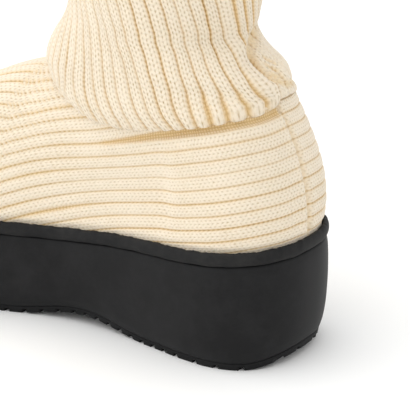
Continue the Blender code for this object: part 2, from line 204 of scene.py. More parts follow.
def rib_crown(away: np.ndarray, width: np.ndarray, share: np.ndarray) -> np.ndarray:
    """Height across a rib, 0 in the valleys beside it and 1 on its rounded top.

    Args:
        away: distance from the nearest valley.
        width: the valley's width.
        share: place across the rib, from 0 to 1.

    Returns:
        The height in the shape of the arguments.
    """
    rounded = 1 - RIB_ROUND + RIB_ROUND * np.sin(math.pi * share) ** RIB_POWER
    return (1 - np.exp(-((away / width) ** 2))) * rounded


@dataclass(frozen=True)
class Last:
    """The form the boot is built on: outline, heights and meridians of the foot, as in the CAD source."""

    # Ends and corners in plan, and the runs where the corners end. A roundness of 2 is an ellipse.
    length: float = 268.0
    heel_half_width: float = 36.0
    heel_centre: float = 34.0
    heel_roundness: float = 2.25
    toe_centre: float = 190.0
    toe_roundness: float = 2.3
    toe_tip_y: float = -8.0
    heel_run: float = 0.17
    toe_run: float = 0.68
    ankle_end: float = 0.52
    # The tread, and how far the sole leaves the floor at the heel, the arch and the toe.
    tread: float = 2.8
    heel_bevel: float = 6.0
    heel_bevel_length: float = 18.0
    arch_rise: float = 4.3
    arch_start: float = 62.0
    arch_end: float = 134.0
    spring_start: float = 206.0
    toe_spring: float = 10.0
    # The band, and the room between one piece and the next.
    rand_height: float = 5.5
    rand_thickness: float = 2.4
    gap: float = 0.35
    curved_gap: float = 0.6
    # Where the ridge of the instep leaves the middle, and the handles that shape a meridian.
    ridge_shift_start: float = 148.0
    ridge_shift_end: float = 222.0
    first_handle: float = 0.54
    first_handle_steep: float = 0.2
    second_handle_flat: float = 0.58
    second_handle_steep: float = 0.34
    frame_shift: tuple[float, float, float] = (-134.0, 4.4, 0.0)
    outline: Table = Table("x lateral medial", (
        (34.0, 36.0, 36.0), (45.0, 35.0, 35.2), (60.0, 32.4, 32.8), (76.0, 30.0, 30.2),
        (92.0, 28.8, 29.0), (107.0, 29.2, 30.2), (124.0, 32.4, 35.2), (146.0, 38.6, 44.0),
        (168.0, 43.2, 50.8), (190.0, 44.8, 53.6),
    ))
    top_line: Table = Table("x z", (
        (0.0, 52.8), (34.0, 49.9), (75.0, 46.6), (105.0, 43.4), (135.0, 42.2), (190.0, 41.2), (232.0, 42.6),
        (268.0, 46.4),
    ))
    foot_sections: Table = Table("run x side z lean full", (
        (0.00, 19.4, 0.0, 106.2, 52.0, 1.0),
        (0.05, 20.2, 13.2, 106.0, 59.0, 4.0),
        (0.10, 25.0, 23.4, 104.2, 67.0, 5.0),
        (0.17, 39.0, 30.4, 99.6, 75.0, 4.0),
        (0.27, 62.0, 31.4, 95.2, 82.0, 4.2),
        (0.37, 86.0, 28.0, 94.2, 76.0, 5.4),
        (0.43, 102.0, 22.5, 98.4, 60.0, 5.0),
        (0.465, 112.0, 17.0, 102.0, 46.0, 4.2),
        (0.49, 119.5, 11.0, 105.0, 32.0, 3.4),
        (0.507, 123.6, 5.6, 107.0, 18.0, 3.0),
        (0.52, 125.6, 0.0, 108.0, 4.0, 2.6),
        (0.58, 148.0, 0.0, 101.2, 0.0, 1.8),
        (0.66, 170.0, 0.0, 91.6, 0.0, 1.0),
        (0.76, 194.0, 0.0, 82.4, 0.0, 0.6),
        (0.87, 212.0, 0.0, 77.2, 4.0, 0.6),
        (1.00, 222.0, 0.0, 74.4, 12.0, 0.6),
    ))

    def to_frame(self, points: np.ndarray) -> np.ndarray:
        """Turns millimetres of the last into metres of the frame."""
        return (points + np.array(self.frame_shift)) * MM

    def both_sides(self, runs: np.ndarray) -> tuple[np.ndarray, np.ndarray]:
        """Goes once round the sole, by the outer side to the toe and back by the inner side.

        Args:
            runs: runs from 0 to 1 on one side.

        Returns:
            The run and the side of each place.
        """
        run = np.concatenate([runs, runs[-2:0:-1]])
        return run, np.concatenate([np.ones(len(runs)), -np.ones(len(runs) - 2)])

    def corner_turns(self, run: np.ndarray) -> tuple[np.ndarray, np.ndarray]:
        """Angles in the heel's and in the toe's quarter, each 0 at its tip."""
        heel = np.clip(run / self.heel_run, 0, 1) * math.pi / 2
        return heel, np.clip((1 - run) / (1 - self.toe_run), 0, 1) * math.pi / 2

    def edge(self, run: np.ndarray, side: np.ndarray) -> np.ndarray:
        """Points of the rand's outer face in plan.

        Args:
            run: run of each place.
            side: side of each place.

        Returns:
            Points, with x and y along the last axis.
        """
        run, side = np.broadcast_arrays(np.asarray(run, float), np.asarray(side, float))
        heel_turn, toe_turn = self.corner_turns(run)
        heel = self.heel_centre * (1 - np.clip(np.cos(heel_turn), 0, 1) ** (2 / self.heel_roundness))
        reach = self.length - self.toe_centre
        toe = self.length - reach * (1 - np.clip(np.cos(toe_turn), 0, 1) ** (2 / self.toe_roundness))
        share = (run - self.heel_run) / (self.toe_run - self.heel_run)
        middle = self.heel_centre + (self.toe_centre - self.heel_centre) * share
        x = np.where(run < self.heel_run, heel, np.where(run > self.toe_run, toe, middle))

        heel = side * self.heel_half_width * np.sin(heel_turn) ** (2 / self.heel_roundness)
        half = np.where(side > 0, self.outline.read("lateral", x), self.outline.read("medial", x))
        last = np.where(side > 0, self.outline.rows[-1][1], self.outline.rows[-1][2])
        toe = self.toe_tip_y + (side * last - self.toe_tip_y) * np.sin(toe_turn) ** (2 / self.toe_roundness)
        y = np.where(run < self.heel_run, heel, np.where(run > self.toe_run, toe, side * half))
        return np.stack([x, y], axis=-1)

    def plan(self, run: np.ndarray, side: np.ndarray, inset: np.ndarray | float = 0.0) -> np.ndarray:
        """Points of the sole's outline in plan, moved straight inward.

        Args:
            run: run of each place.
            side: side of each place.
            inset: how far inward.

        Returns:
            Points, with x and y along the last axis.
        """
        run, side, inset = np.broadcast_arrays(*(np.asarray(a, float) for a in (run, side, inset)))
        sample = 1e-4
        behind = self.edge(np.maximum(run - sample, 0), side)
        ahead = unit(self.edge(np.minimum(run + sample, 1), side) - behind)
        inward = np.stack([ahead[..., 1], -ahead[..., 0]], axis=-1) * side[..., None]
        points = self.edge(run, side) + inward * inset[..., None]
        heel = np.stack([inset, np.zeros_like(inset)], axis=-1)
        toe = np.stack([self.length - inset, np.full_like(inset, self.toe_tip_y)], axis=-1)
        points = np.where((run <= 0)[..., None], heel, points)
        return np.where((run >= 1)[..., None], toe, points)

    def platform_top(self, x: np.ndarray) -> np.ndarray:
        """Height of the platform under the rand and the insole."""
        return self.top_line.read("z", x) - self.rand_height - self.gap

    def floor_line(self, x: np.ndarray) -> np.ndarray:
        """Height of the tread's face over the floor.

        Args:
            x: distance of each place from the heel's back.

        Returns:
            The heights.
        """
        heel = self.heel_bevel * np.clip(1 - x / self.heel_bevel_length, 0, 1) ** 2
        share = np.clip((x - self.arch_start) / (self.arch_end - self.arch_start), 0, 1)
        arch = self.arch_rise * np.sin(math.pi * share) ** 2
        spring = np.clip((x - self.spring_start) / (self.length - self.spring_start), 0, 1)
        return heel + arch + self.toe_spring * spring**2

    def foot_top(self, run: np.ndarray, side: np.ndarray) -> np.ndarray:
        """Upper ends of meridians of the knitted foot, on the ankle joint or on the ridge.

        Args:
            run: run of each meridian.
            side: side of each meridian.

        Returns:
            Points, with x, y and z along the last axis.
        """
        x = self.foot_sections.read("x", run)
        half = np.maximum(self.foot_sections.read("side", run), 0)
        half = np.where(run < self.ankle_end, half, 0)
        ridge_y = self.toe_tip_y * ease(x, self.ridge_shift_start, self.ridge_shift_end)
        return np.stack([x, ridge_y + side * half, self.foot_sections.read("z", run)], axis=-1)

    def foot_foot(self, run: np.ndarray, side: np.ndarray, rise: float) -> np.ndarray:
        """Lower ends of meridians, inside the rand, moved up by rise.

        Args:
            run: run of each meridian.
            side: side of each meridian.
            rise: how far up.

        Returns:
            Points, with x, y and z along the last axis.
        """
        point = self.plan(run, side, self.rand_thickness + self.curved_gap)
        height = self.platform_top(point[..., 0]) + self.curved_gap + rise
        return np.concatenate([point, height[..., None]], axis=-1)

    def foot_point(self, run: np.ndarray, side: np.ndarray, share: np.ndarray) -> np.ndarray:
        """Points of the knitted foot.

        Args:
            run: run of each meridian.
            side: side of each meridian.
            share: share of the way up from the rand's top.

        Returns:
            Points, with x, y and z along the last axis.
        """
        run, side, share = np.broadcast_arrays(run, side, share)
        low = self.foot_foot(run, side, self.rand_height)
        high = self.foot_top(run, side)
        across = high - low
        rise = across[..., 2:]
        plan = across * np.array([1.0, 1.0, 0.0])
        reach = np.linalg.norm(plan, axis=-1, keepdims=True)
        inward = plan / reach
        up = np.array([0.0, 0.0, 1.0])
        lean = np.radians(self.foot_sections.read("lean", run))[..., None]
        full = self.foot_sections.read("full", run)[..., None]
        steep = np.sin(lean)
        first = low + up * rise * (self.first_handle - self.first_handle_steep * steep) - inward * full
        handle = reach * self.second_handle_flat * (1 - steep) + rise * self.second_handle_steep * steep
        second = high - (inward * np.cos(lean) + up * steep) * handle
        t = share[..., None]
        return low * (1 - t) ** 3 + first * 3 * t * (1 - t) ** 2 + second * 3 * t**2 * (1 - t) + high * t**3


@dataclass(frozen=True)
class Fold:
    """A soft trough or ridge laid by hand along a line on the leg.

    A soft trough or ridge laid along a line on the leg.
    towards the outer side. A trough has a negative depth.
    """

    path: Sequence[tuple[float, float]]
    depth: float
    width: float
    end_strength: float = 0.25

    def strength(self, across: np.ndarray, height: np.ndarray) -> np.ndarray:
        """How strongly each place lies in the fold.

        Args:
            across: length round the leg of each place.
            height: height of each place.

        Returns:
            The strength, from 0 to 1, in the shape of the arguments.
        """
        best = np.zeros(np.broadcast(across, height).shape)
        count = len(self.path) - 1
        for i, ((x0, z0), (x1, z1)) in enumerate(zip(self.path, self.path[1:])):
            length = max((x1 - x0) ** 2 + (z1 - z0) ** 2, TINY)
            t = np.clip(((across - x0) * (x1 - x0) + (height - z0) * (z1 - z0)) / length, 0, 1)
            away = np.hypot(across - x0 - t * (x1 - x0), height - z0 - t * (z1 - z0))
            place = (i + t) / count
            taper = from_least(self.end_strength, np.sqrt(np.clip(4 * place * (1 - place), 0, 1)))
            best = np.maximum(best, np.exp(-((away / self.width) ** 2)) * taper)
        return best


def srgb(code: str) -> tuple[float, float, float, float]:
    """Turns a colour written as sRGB hex into Blender's linear RGBA.

    Args:
        code: the colour, such as #EBDEC9.

    Returns:
        Red, green, blue and alpha.
    """
    values = [int(code[i : i + 2], 16) / 255 for i in (1, 3, 5)]
    linear = [v / 12.92 if v <= 0.04045 else ((v + 0.055) / 1.055) ** 2.4 for v in values]
    return (*linear, 1.0)


def add_node(
    tree: bpy.types.NodeTree,
    kind: str,
    inputs: Mapping[Any, Any] | None = None,
    output: int | str = 0,
    **settings: Any,
) -> bpy.types.NodeSocket:
    """Adds a node, sets it and links it.

    Args:
        tree: the material's node tree.
        kind: Blender's name for the kind of node, without its ShaderNode prefix.
        inputs: input name or number to a value, or to the socket that feeds it.
        output: name or number of the output that is wanted.
        settings: properties of the node.

    Returns:
        The wanted output socket.
    """
    node = tree.nodes.new("ShaderNode" + kind)
    for name, value in settings.items():
        setattr(node, name, value)
    for key, value in (inputs or {}).items():
        if isinstance(value, bpy.types.NodeSocket):
            tree.links.new(value, node.inputs[key])
        else:
            node.inputs[key].default_value = value
    return node.outputs[output]


def new_material(
    name: str, **constants: Any
) -> tuple[bpy.types.Material, bpy.types.NodeTree, bpy.types.Node]:
    """Makes a material.

    Args:
        name: the real material's name.
        constants: inputs of the Principled BSDF, with _ for each space in their names.

    Returns:
        The material, its node tree and its Principled BSDF.
    """
    material = bpy.data.materials.new(name)
    material.use_nodes = True
    shader = material.node_tree.nodes["Principled BSDF"]
    for key, value in constants.items():
        shader.inputs[key.replace("_", " ")].default_value = value
    return material, material.node_tree, shader


@dataclass(frozen=True)
class KnitYarn:
    """Ribbed knit of soft cream yarn: matt, fuzzy, plump stitches in columns, warm painted shade in the
    valleys.

    The mesh carries a map named knit, with ribs across and stitch rows along, and two values per point:
    furrow, how far the place lies in a valley, which sets how much painted shade it gets, and purl, how much
    it shows the back of the knit. A furrow below 0 is a place drawn tight, where no stitch holes show.
    """

    name: str = "cream rib knit"
    # Columns of stitches in a rib, the slant of a stitch's legs, and the relief in mm. The map gives the
    # stitches their real size: ribs about 6 mm wide and stitch rows about 2 mm apart.
    wales: float = 2.0
    slope: float = 0.5
    stitch_depth: float = 0.15
    leg_power: float = 4.0
    join_dip: float = 0.3
    # Small holes where two stitches meet, with olive-brown painted shade in them.
    hole_width: float = 0.36
    hole_power: float = 0.9
    hole_edge: float = 1.6
    hole_depth: float = 0.9
    hole_shade: float = 0.8
    # In a millimetre: tufts of loose fibre, swellings of the yarn and broad clouds. The real fibre, about
    # 0.02 mm, is too fine to show, so it is drawn in tufts 0.6 mm wide.
    fibre_tufts: float = 1.7
    swellings: float = 0.26
    clouds: float = 0.06
    fibre_height: float = 0.5
    # Streaks of the twisted strands in a rib and in a stitch row; painted shade between the stitch legs;
    # and how much the fibre, the strands and the clouds lighten or darken the yarn.
    streaks: tuple[float, float] = (9.0, 1.6)
    leg_shade: float = 0.06
    fibre_shade: float = 0.35
    strand_shade: float = 0.7
    cloud_shade: float = 0.35
    # Golden painted shade in the valleys between the ribs, with a thin beaded line of darker painted shade
    # along each valley's bottom.
    valley_shade: float = 0.68
    line_width: float = 0.145
    line_shade: float = 0.95
    line_uneven: float = 0.9
    line_sunk: float = 1.1
    bead: float = 1.2
    bead_shades: tuple[float, float] = (0.7, 0.5)
    calm_slope: float = 3.0
    # Rows of small loops where the back of the knit shows, with painted shade between the loops.
    loop_rows: float = 6.5
    loop_pace: float = 1.4
    loop_slant: float = 2.0
    loop_power: float = 1.6
    knot_shade: float = 0.5
    light: str = "#EBDEC9"
    # Painted shade in the stitch holes and between the stitch legs, mixed with random flecks of the yarn.
    shade_and_fleck: str = "#B39A6C"
    # Painted shade in the valleys and creases.
    valley: str = "#E0BC76"
    # Darker painted shade along the valley bottoms and in the gaps between the loops.
    line: str = "#B28A49"
    roughness: float = 0.92
    fuzz: float = 0.25

    def steps(self) -> tuple[tuple[Any, ...], ...]:
        """Arithmetic of the stitches, in order. A clamped operation is held between 0 and 1.

        Returns:
            For each step its name, its operation and its operands, which are names of values or numbers.
        """
        level = self.leg_shade - 0.5 * (self.fibre_shade + self.strand_shade + self.cloud_shade)
        return (
            ("rib", "FRACT", "across"),
            ("edge", "SUBTRACT", 1.0, "rib"),
            ("edge", "MINIMUM", "rib", "edge"),
            ("wale", "MULTIPLY", "rib", self.wales),
            ("wale", "FRACT", "wale"),
            ("side", "MULTIPLY_ADD", "wale", 2.0, -1.0),
            ("side", "ABSOLUTE", "side"),
            ("course", "MULTIPLY_ADD", "side", self.slope, "along"),
            ("course", "FRACT", "course"),
            ("apart", "MULTIPLY_ADD", "course", 2.0, -1.0),
            ("apart", "ABSOLUTE", "apart"),
            ("meeting", "SUBTRACT", 1.0, "side"),
            ("meeting", "MINIMUM", "side", "meeting"),
            ("meeting", "MULTIPLY_ADD clamped", "meeting", -1.0 / self.hole_width, 1.0),
            ("dash", "POWER", "apart", self.hole_power),
            ("hole", "POWER", "meeting", self.hole_edge),
            ("hole", "MULTIPLY", "dash", "hole"),
            ("leg", "POWER", "apart", self.leg_power),
            ("leg", "SUBTRACT", 1.0, "leg"),
            ("joined", "MULTIPLY_ADD", "meeting", -self.join_dip, 1.0),
            ("leg", "MULTIPLY", "leg", "joined"),
            ("row", "MULTIPLY", "along", self.loop_pace),
            ("row", "MULTIPLY_ADD", "edge", self.loop_slant, "row"),
            ("row", "FRACT", "row"),
            ("row", "MULTIPLY_ADD", "row", 2.0, -1.0),
            ("row", "ABSOLUTE", "row"),
            ("row", "POWER", "row", self.loop_power),
            ("row", "SUBTRACT", 1.0, "row"),
            ("band", "MULTIPLY", "edge", self.loop_rows),
            ("band", "FRACT", "band"),
            ("band", "MULTIPLY_ADD", "band", 2.0, -1.0),
            ("band", "MULTIPLY", "band", "band"),
            ("band", "SUBTRACT", 1.0, "band"),
            ("loops", "MULTIPLY", "row", "band"),
            ("front", "SUBTRACT", 1.0, "purl"),
            ("stitch", "MULTIPLY", "leg", "front"),
            ("stitch", "MULTIPLY_ADD", "loops", "purl", "stitch"),
            ("height", "MULTIPLY_ADD", "fibre", self.fibre_height, "stitch"),
            ("height", "MULTIPLY_ADD", "hole", -self.hole_depth, "height"),
            ("calm", "ABSOLUTE", "furrow"),
            ("calm", "MULTIPLY_ADD clamped", "calm", -self.calm_slope, 1.0),
            ("dots", "MULTIPLY", "uneven", 2.0 * self.hole_shade),
            ("dots", "MULTIPLY", "hole", "dots"),
            ("shade", "MULTIPLY_ADD", "dots", "calm", level),
            ("shade", "MULTIPLY_ADD", "leg", -self.leg_shade, "shade"),
            ("shade", "MULTIPLY_ADD", "fibre", self.fibre_shade, "shade"),
            ("shade", "MULTIPLY_ADD", "strand", self.strand_shade, "shade"),
            ("shade", "MULTIPLY_ADD clamped", "cloud", self.cloud_shade, "shade"),
            ("in_valley", "MULTIPLY clamped", "furrow", self.valley_shade),
            ("knots", "SUBTRACT", 1.0, "loops"),
            ("knots", "MULTIPLY", "knots", "purl"),
            ("knots", "MULTIPLY", "knots", self.knot_shade),
            ("reach", "MULTIPLY", "uneven", self.line_uneven * self.line_width),
            ("reach", "MULTIPLY_ADD", "apart", self.bead * self.line_width, "reach"),
            ("thin", "DIVIDE", "edge", "reach"),
            ("thin", "SUBTRACT clamped", 1.0, "thin"),
            ("thin", "MULTIPLY clamped", "thin", "front"),
            ("sunk", "MULTIPLY clamped", "furrow", self.line_sunk),
            ("thin", "MULTIPLY", "thin", "sunk"),
            ("beads", "MULTIPLY_ADD", "apart", *self.bead_shades),
            ("thin", "MULTIPLY clamped", "thin", "beads"),
            ("thin", "MULTIPLY", "thin", self.line_shade),
        )

    def build(self) -> bpy.types.Material:
        """Makes the material.

        Returns:
            The new material.
        """
        material, tree, shader = new_material(
            self.name, Roughness=self.roughness, Specular_IOR_Level=0.15, Sheen_Weight=self.fuzz,
            Sheen_Roughness=0.5, Subsurface_Weight=0.08, Subsurface_Radius=(0.002, 0.0015, 0.001),
            Subsurface_Scale=1.0,
        )
        knit = add_node(tree, "UVMap", uv_map="knit")
        split = add_node(tree, "SeparateXYZ", {0: knit}).node
        place = add_node(tree, "TexCoord", output="Object")
        strand = add_node(tree, "VectorMath", {0: knit, 1: (*self.streaks, 1.0)}, operation="MULTIPLY")
        sockets = {"across": split.outputs["X"], "along": split.outputs["Y"]}
        for name in ("furrow", "purl"):
            sockets[name] = add_node(tree, "Attribute", output="Fac", attribute_name=name)
        for name, source, scale, detail, rough in (
            ("fibre", place, self.fibre_tufts / MM, 3.0, 0.7),
            ("uneven", place, self.swellings / MM, 1.0, 0.5),
            ("cloud", place, self.clouds / MM, 3.0, 0.5),
            ("strand", strand, 1.0, 2.0, 0.6),
        ):
            noise = {"Vector": source, "Scale": scale, "Detail": detail, "Roughness": rough}
            sockets[name] = add_node(tree, "TexNoise", noise)
        for name, operation, *operands in self.steps():
            kind, _, clamped = operation.partition(" ")
            values = {i: sockets.get(operand, operand) for i, operand in enumerate(operands)}
            sockets[name] = add_node(tree, "Math", values, operation=kind, use_clamp=bool(clamped))

        # Painted shade over the yarn's colour: holes and legs, valleys and creases, valley lines and loop
        # gaps.
        colour = srgb(self.light)
        tones = {"shade": self.shade_and_fleck, "in_valley": self.valley, "knots": self.line, "thin": self.line}
        for name, tone in tones.items():
            mix = {MIX_FACTOR: sockets[name], MIX_FIRST: colour, MIX_SECOND: srgb(tone)}
            colour = add_node(tree, "Mix", mix, MIX_RESULT, data_type="RGBA")
        relief = {"Height": sockets["height"], "Strength": 1.0, "Distance": self.stitch_depth * MM}
        tree.links.new(colour, shader.inputs["Base Color"])
        tree.links.new(add_node(tree, "Bump", relief), shader.inputs["Normal"])
        return material


@dataclass(frozen=True)
class Rubber:
    """Foamed black rubber: satin, with a fine skin grain and faint pale dust where it has been touched."""

    name: str
    colour: str = "#141415"
    dust: str = "#2C2C2D"
    roughness: float = 0.52
    dust_share: float = 0.5
    # Sizes in mm. The real skin's grain, about 0.1 mm, is too fine to show and is drawn coarser.
    grain_size: float = 0.5
    grain_depth: float = 0.03
    smudge_size: float = 20.0
    smudge_range: tuple[float, float] = (0.42, 0.72)
    duller: tuple[float, float] = (-0.08, 0.14)

    def build(self) -> bpy.types.Material:
        """Makes the material.

        Returns:
            The new material.
        """
        material, tree, shader = new_material(self.name, IOR=1.5, Specular_IOR_Level=0.17)
        place = add_node(tree, "TexCoord", output="Object")
        fine = {"Vector": place, "Scale": 1 / (self.grain_size * MM), "Detail": 3.0}
        grain = add_node(tree, "TexNoise", fine)
        # The smudges have edges as fine as dust, and dull the skin too.
        smudges = {"Vector": place, "Scale": 1 / (self.smudge_size * MM), "Detail": 9.0, "Roughness": 0.8}
        cloud = add_node(tree, "TexNoise", smudges)
        low, high = self.smudge_range
        dusty = {"Value": cloud, "From Min": low, "From Max": high, "To Max": self.dust_share}
        patch = add_node(tree, "MapRange", dusty)
        mix = {MIX_FACTOR: patch, MIX_FIRST: srgb(self.colour), MIX_SECOND: srgb(self.dust)}
        less, more = self.duller
        dull = {"Value": cloud, "To Min": self.roughness + less, "To Max": self.roughness + more}
        relief = {"Height": grain, "Strength": 0.6, "Distance": self.grain_depth * MM}
        tree.links.new(add_node(tree, "Mix", mix, MIX_RESULT, data_type="RGBA"), shader.inputs["Base Color"])
        tree.links.new(add_node(tree, "MapRange", dull), shader.inputs["Roughness"])
        tree.links.new(add_node(tree, "Bump", relief), shader.inputs["Normal"])
        return material


@dataclass(frozen=True)
class LiningCloth:
    """Plain woven lining: matt, cream and a little rough, with its threads about half a millimetre apart."""

    name: str = "cream lining cloth"
    # Thread spacing and relief in mm.
    thread: float = 0.55
    thread_depth: float = 0.1
    # Threads' tops in the light colour, with painted shade in the gaps between them.
    light: str = "#EFE2C6"
    dark: str = "#E3D4B4"

    def build(self) -> bpy.types.Material:
        """Makes the material.

        Returns:
            The new material.
        """
        material, tree, shader = new_material(self.name, Roughness=0.9, Sheen_Weight=0.2)
        place = add_node(tree, "TexCoord", output="Object")
        # At scale 1, Blender's wave has 20 / tau bands in a metre.
        threads = {"Vector": place, "Scale": math.tau / (self.thread * MM) / 20, "Distortion": 0.6}
        weave = add_node(tree, "TexWave", threads)
        cross = add_node(tree, "TexWave", threads, bands_direction="Y")
        height = add_node(tree, "Math", {0: weave, 1: cross}, operation="MULTIPLY")
        # Painted shade: the lower the weave, the darker.
        mix = {MIX_FACTOR: height, MIX_FIRST: srgb(self.dark), MIX_SECOND: srgb(self.light)}
        relief = {"Height": height, "Strength": 0.5, "Distance": self.thread_depth * MM}
        tree.links.new(add_node(tree, "Mix", mix, MIX_RESULT, data_type="RGBA"), shader.inputs["Base Color"])
        tree.links.new(add_node(tree, "Bump", relief), shader.inputs["Normal"])
        return material


class Role(Enum):
    """What each surface of a knitted piece is."""

    KNIT = 0
    LINING = 1


@dataclass
class MeshParts:
    """Gathers grids of points into one mesh, with the knit map and the values each point carries."""

    points: list[np.ndarray] = field(default_factory=list)
    faces: list[np.ndarray] = field(default_factory=list)
    maps: list[np.ndarray] = field(default_factory=list)
    roles: list[np.ndarray] = field(default_factory=list)
    furrow: list[np.ndarray] = field(default_factory=list)
    purl: list[np.ndarray] = field(default_factory=list)
    count: int = 0

    def add_points(self, grid: np.ndarray, furrow: Any = 0.0, purl: Any = 0.0) -> np.ndarray:
        """Adds a grid's points.

        Args:
            grid: points, rows by columns by 3, in millimetres.
            furrow: how far each lies in a valley, and so its painted shade; of the grid's shape or one
                number.
            purl: how much each shows the back of the knit, likewise.

        Returns:
            The numbers of the new points, rows by columns.
        """
        rows, columns = grid.shape[:2]
        numbers = self.count + np.arange(rows * columns).reshape(rows, columns)
        self.points.append(grid.reshape(-1, 3))
        self.furrow.append(np.broadcast_to(furrow, (rows, columns)).reshape(-1))
        self.purl.append(np.broadcast_to(purl, (rows, columns)).reshape(-1))
        self.count += rows * columns
        return numbers

    def add_faces(
        self, numbers: np.ndarray, role: Role = Role.KNIT, knit: np.ndarray | None = None, flip: bool = False
    ) -> None:
        """Adds the faces between the points of a grid, which is closed where its last column is its first.

        Args:
            numbers: point numbers, rows by columns.
            role: what the surface is.
            knit: map coordinates, rows by columns by 2.
            flip: whether the faces look the other way.
        """
        corners = [(0, 0), (0, 1), (1, 1), (1, 0)]
        if not flip:
            corners.reverse()
        rows, columns = numbers.shape
        pick = [np.s_[r : rows - 1 + r, c : columns - 1 + c] for r, c in corners]
        quads = np.stack([numbers[p].reshape(-1) for p in pick], axis=1)
        if knit is None:
            knit = np.zeros((rows, columns, 2))
        self.faces.append(quads)
        self.maps.append(np.stack([knit[p].reshape(-1, 2) for p in pick], axis=1))
        self.roles.append(np.full(len(quads), role.value))

    def make(self, name: str, last: Last, materials: Sequence[bpy.types.Material]) -> bpy.types.Object:
        """Makes the object in the frame's metres.

        Args:
            name: the piece's name.
            last: the form that knows where the frame is.
            materials: one for each role.

        Returns:
            The new object.
        """
        quads = np.concatenate(self.faces)
        same = np.array([quads[:, i] == quads[:, (i + 1) % 4] for i in range(4)]).T
        keep = same.sum(axis=1) <= 1
        faces, uvs = [], []
        for quad, gone, corner in zip(quads[keep], same[keep], np.concatenate(self.maps)[keep]):
            faces.append([int(q) for q, g in zip(quad, gone) if not g])
            uvs.extend(c for c, g in zip(corner, gone) if not g)
        used, where = np.unique(np.concatenate(faces), return_inverse=True)
        where = where.tolist()
        starts = np.cumsum([0] + [len(face) for face in faces])
        faces = [where[a:b] for a, b in zip(starts, starts[1:])]
        mesh = bpy.data.meshes.new(name)
        mesh.from_pydata(last.to_frame(np.concatenate(self.points)[used]).tolist(), [], faces)
        layer = mesh.uv_layers.new(name="knit")
        layer.data.foreach_set("uv", np.array(uvs, np.float32).reshape(-1))
        for title, values in (("furrow", self.furrow), ("purl", self.purl)):
            attribute = mesh.attributes.new(title, "FLOAT", "POINT")
            attribute.data.foreach_set("value", np.concatenate(values)[used].astype(np.float32))
        for material in materials:
            mesh.materials.append(material)
        mesh.polygons.foreach_set("material_index", np.concatenate(self.roles)[keep].astype(np.int32))
        mesh.shade_smooth()
        mesh.update()
        thing = bpy.data.objects.new(name, mesh)
        bpy.context.scene.collection.objects.link(thing)
        return thing


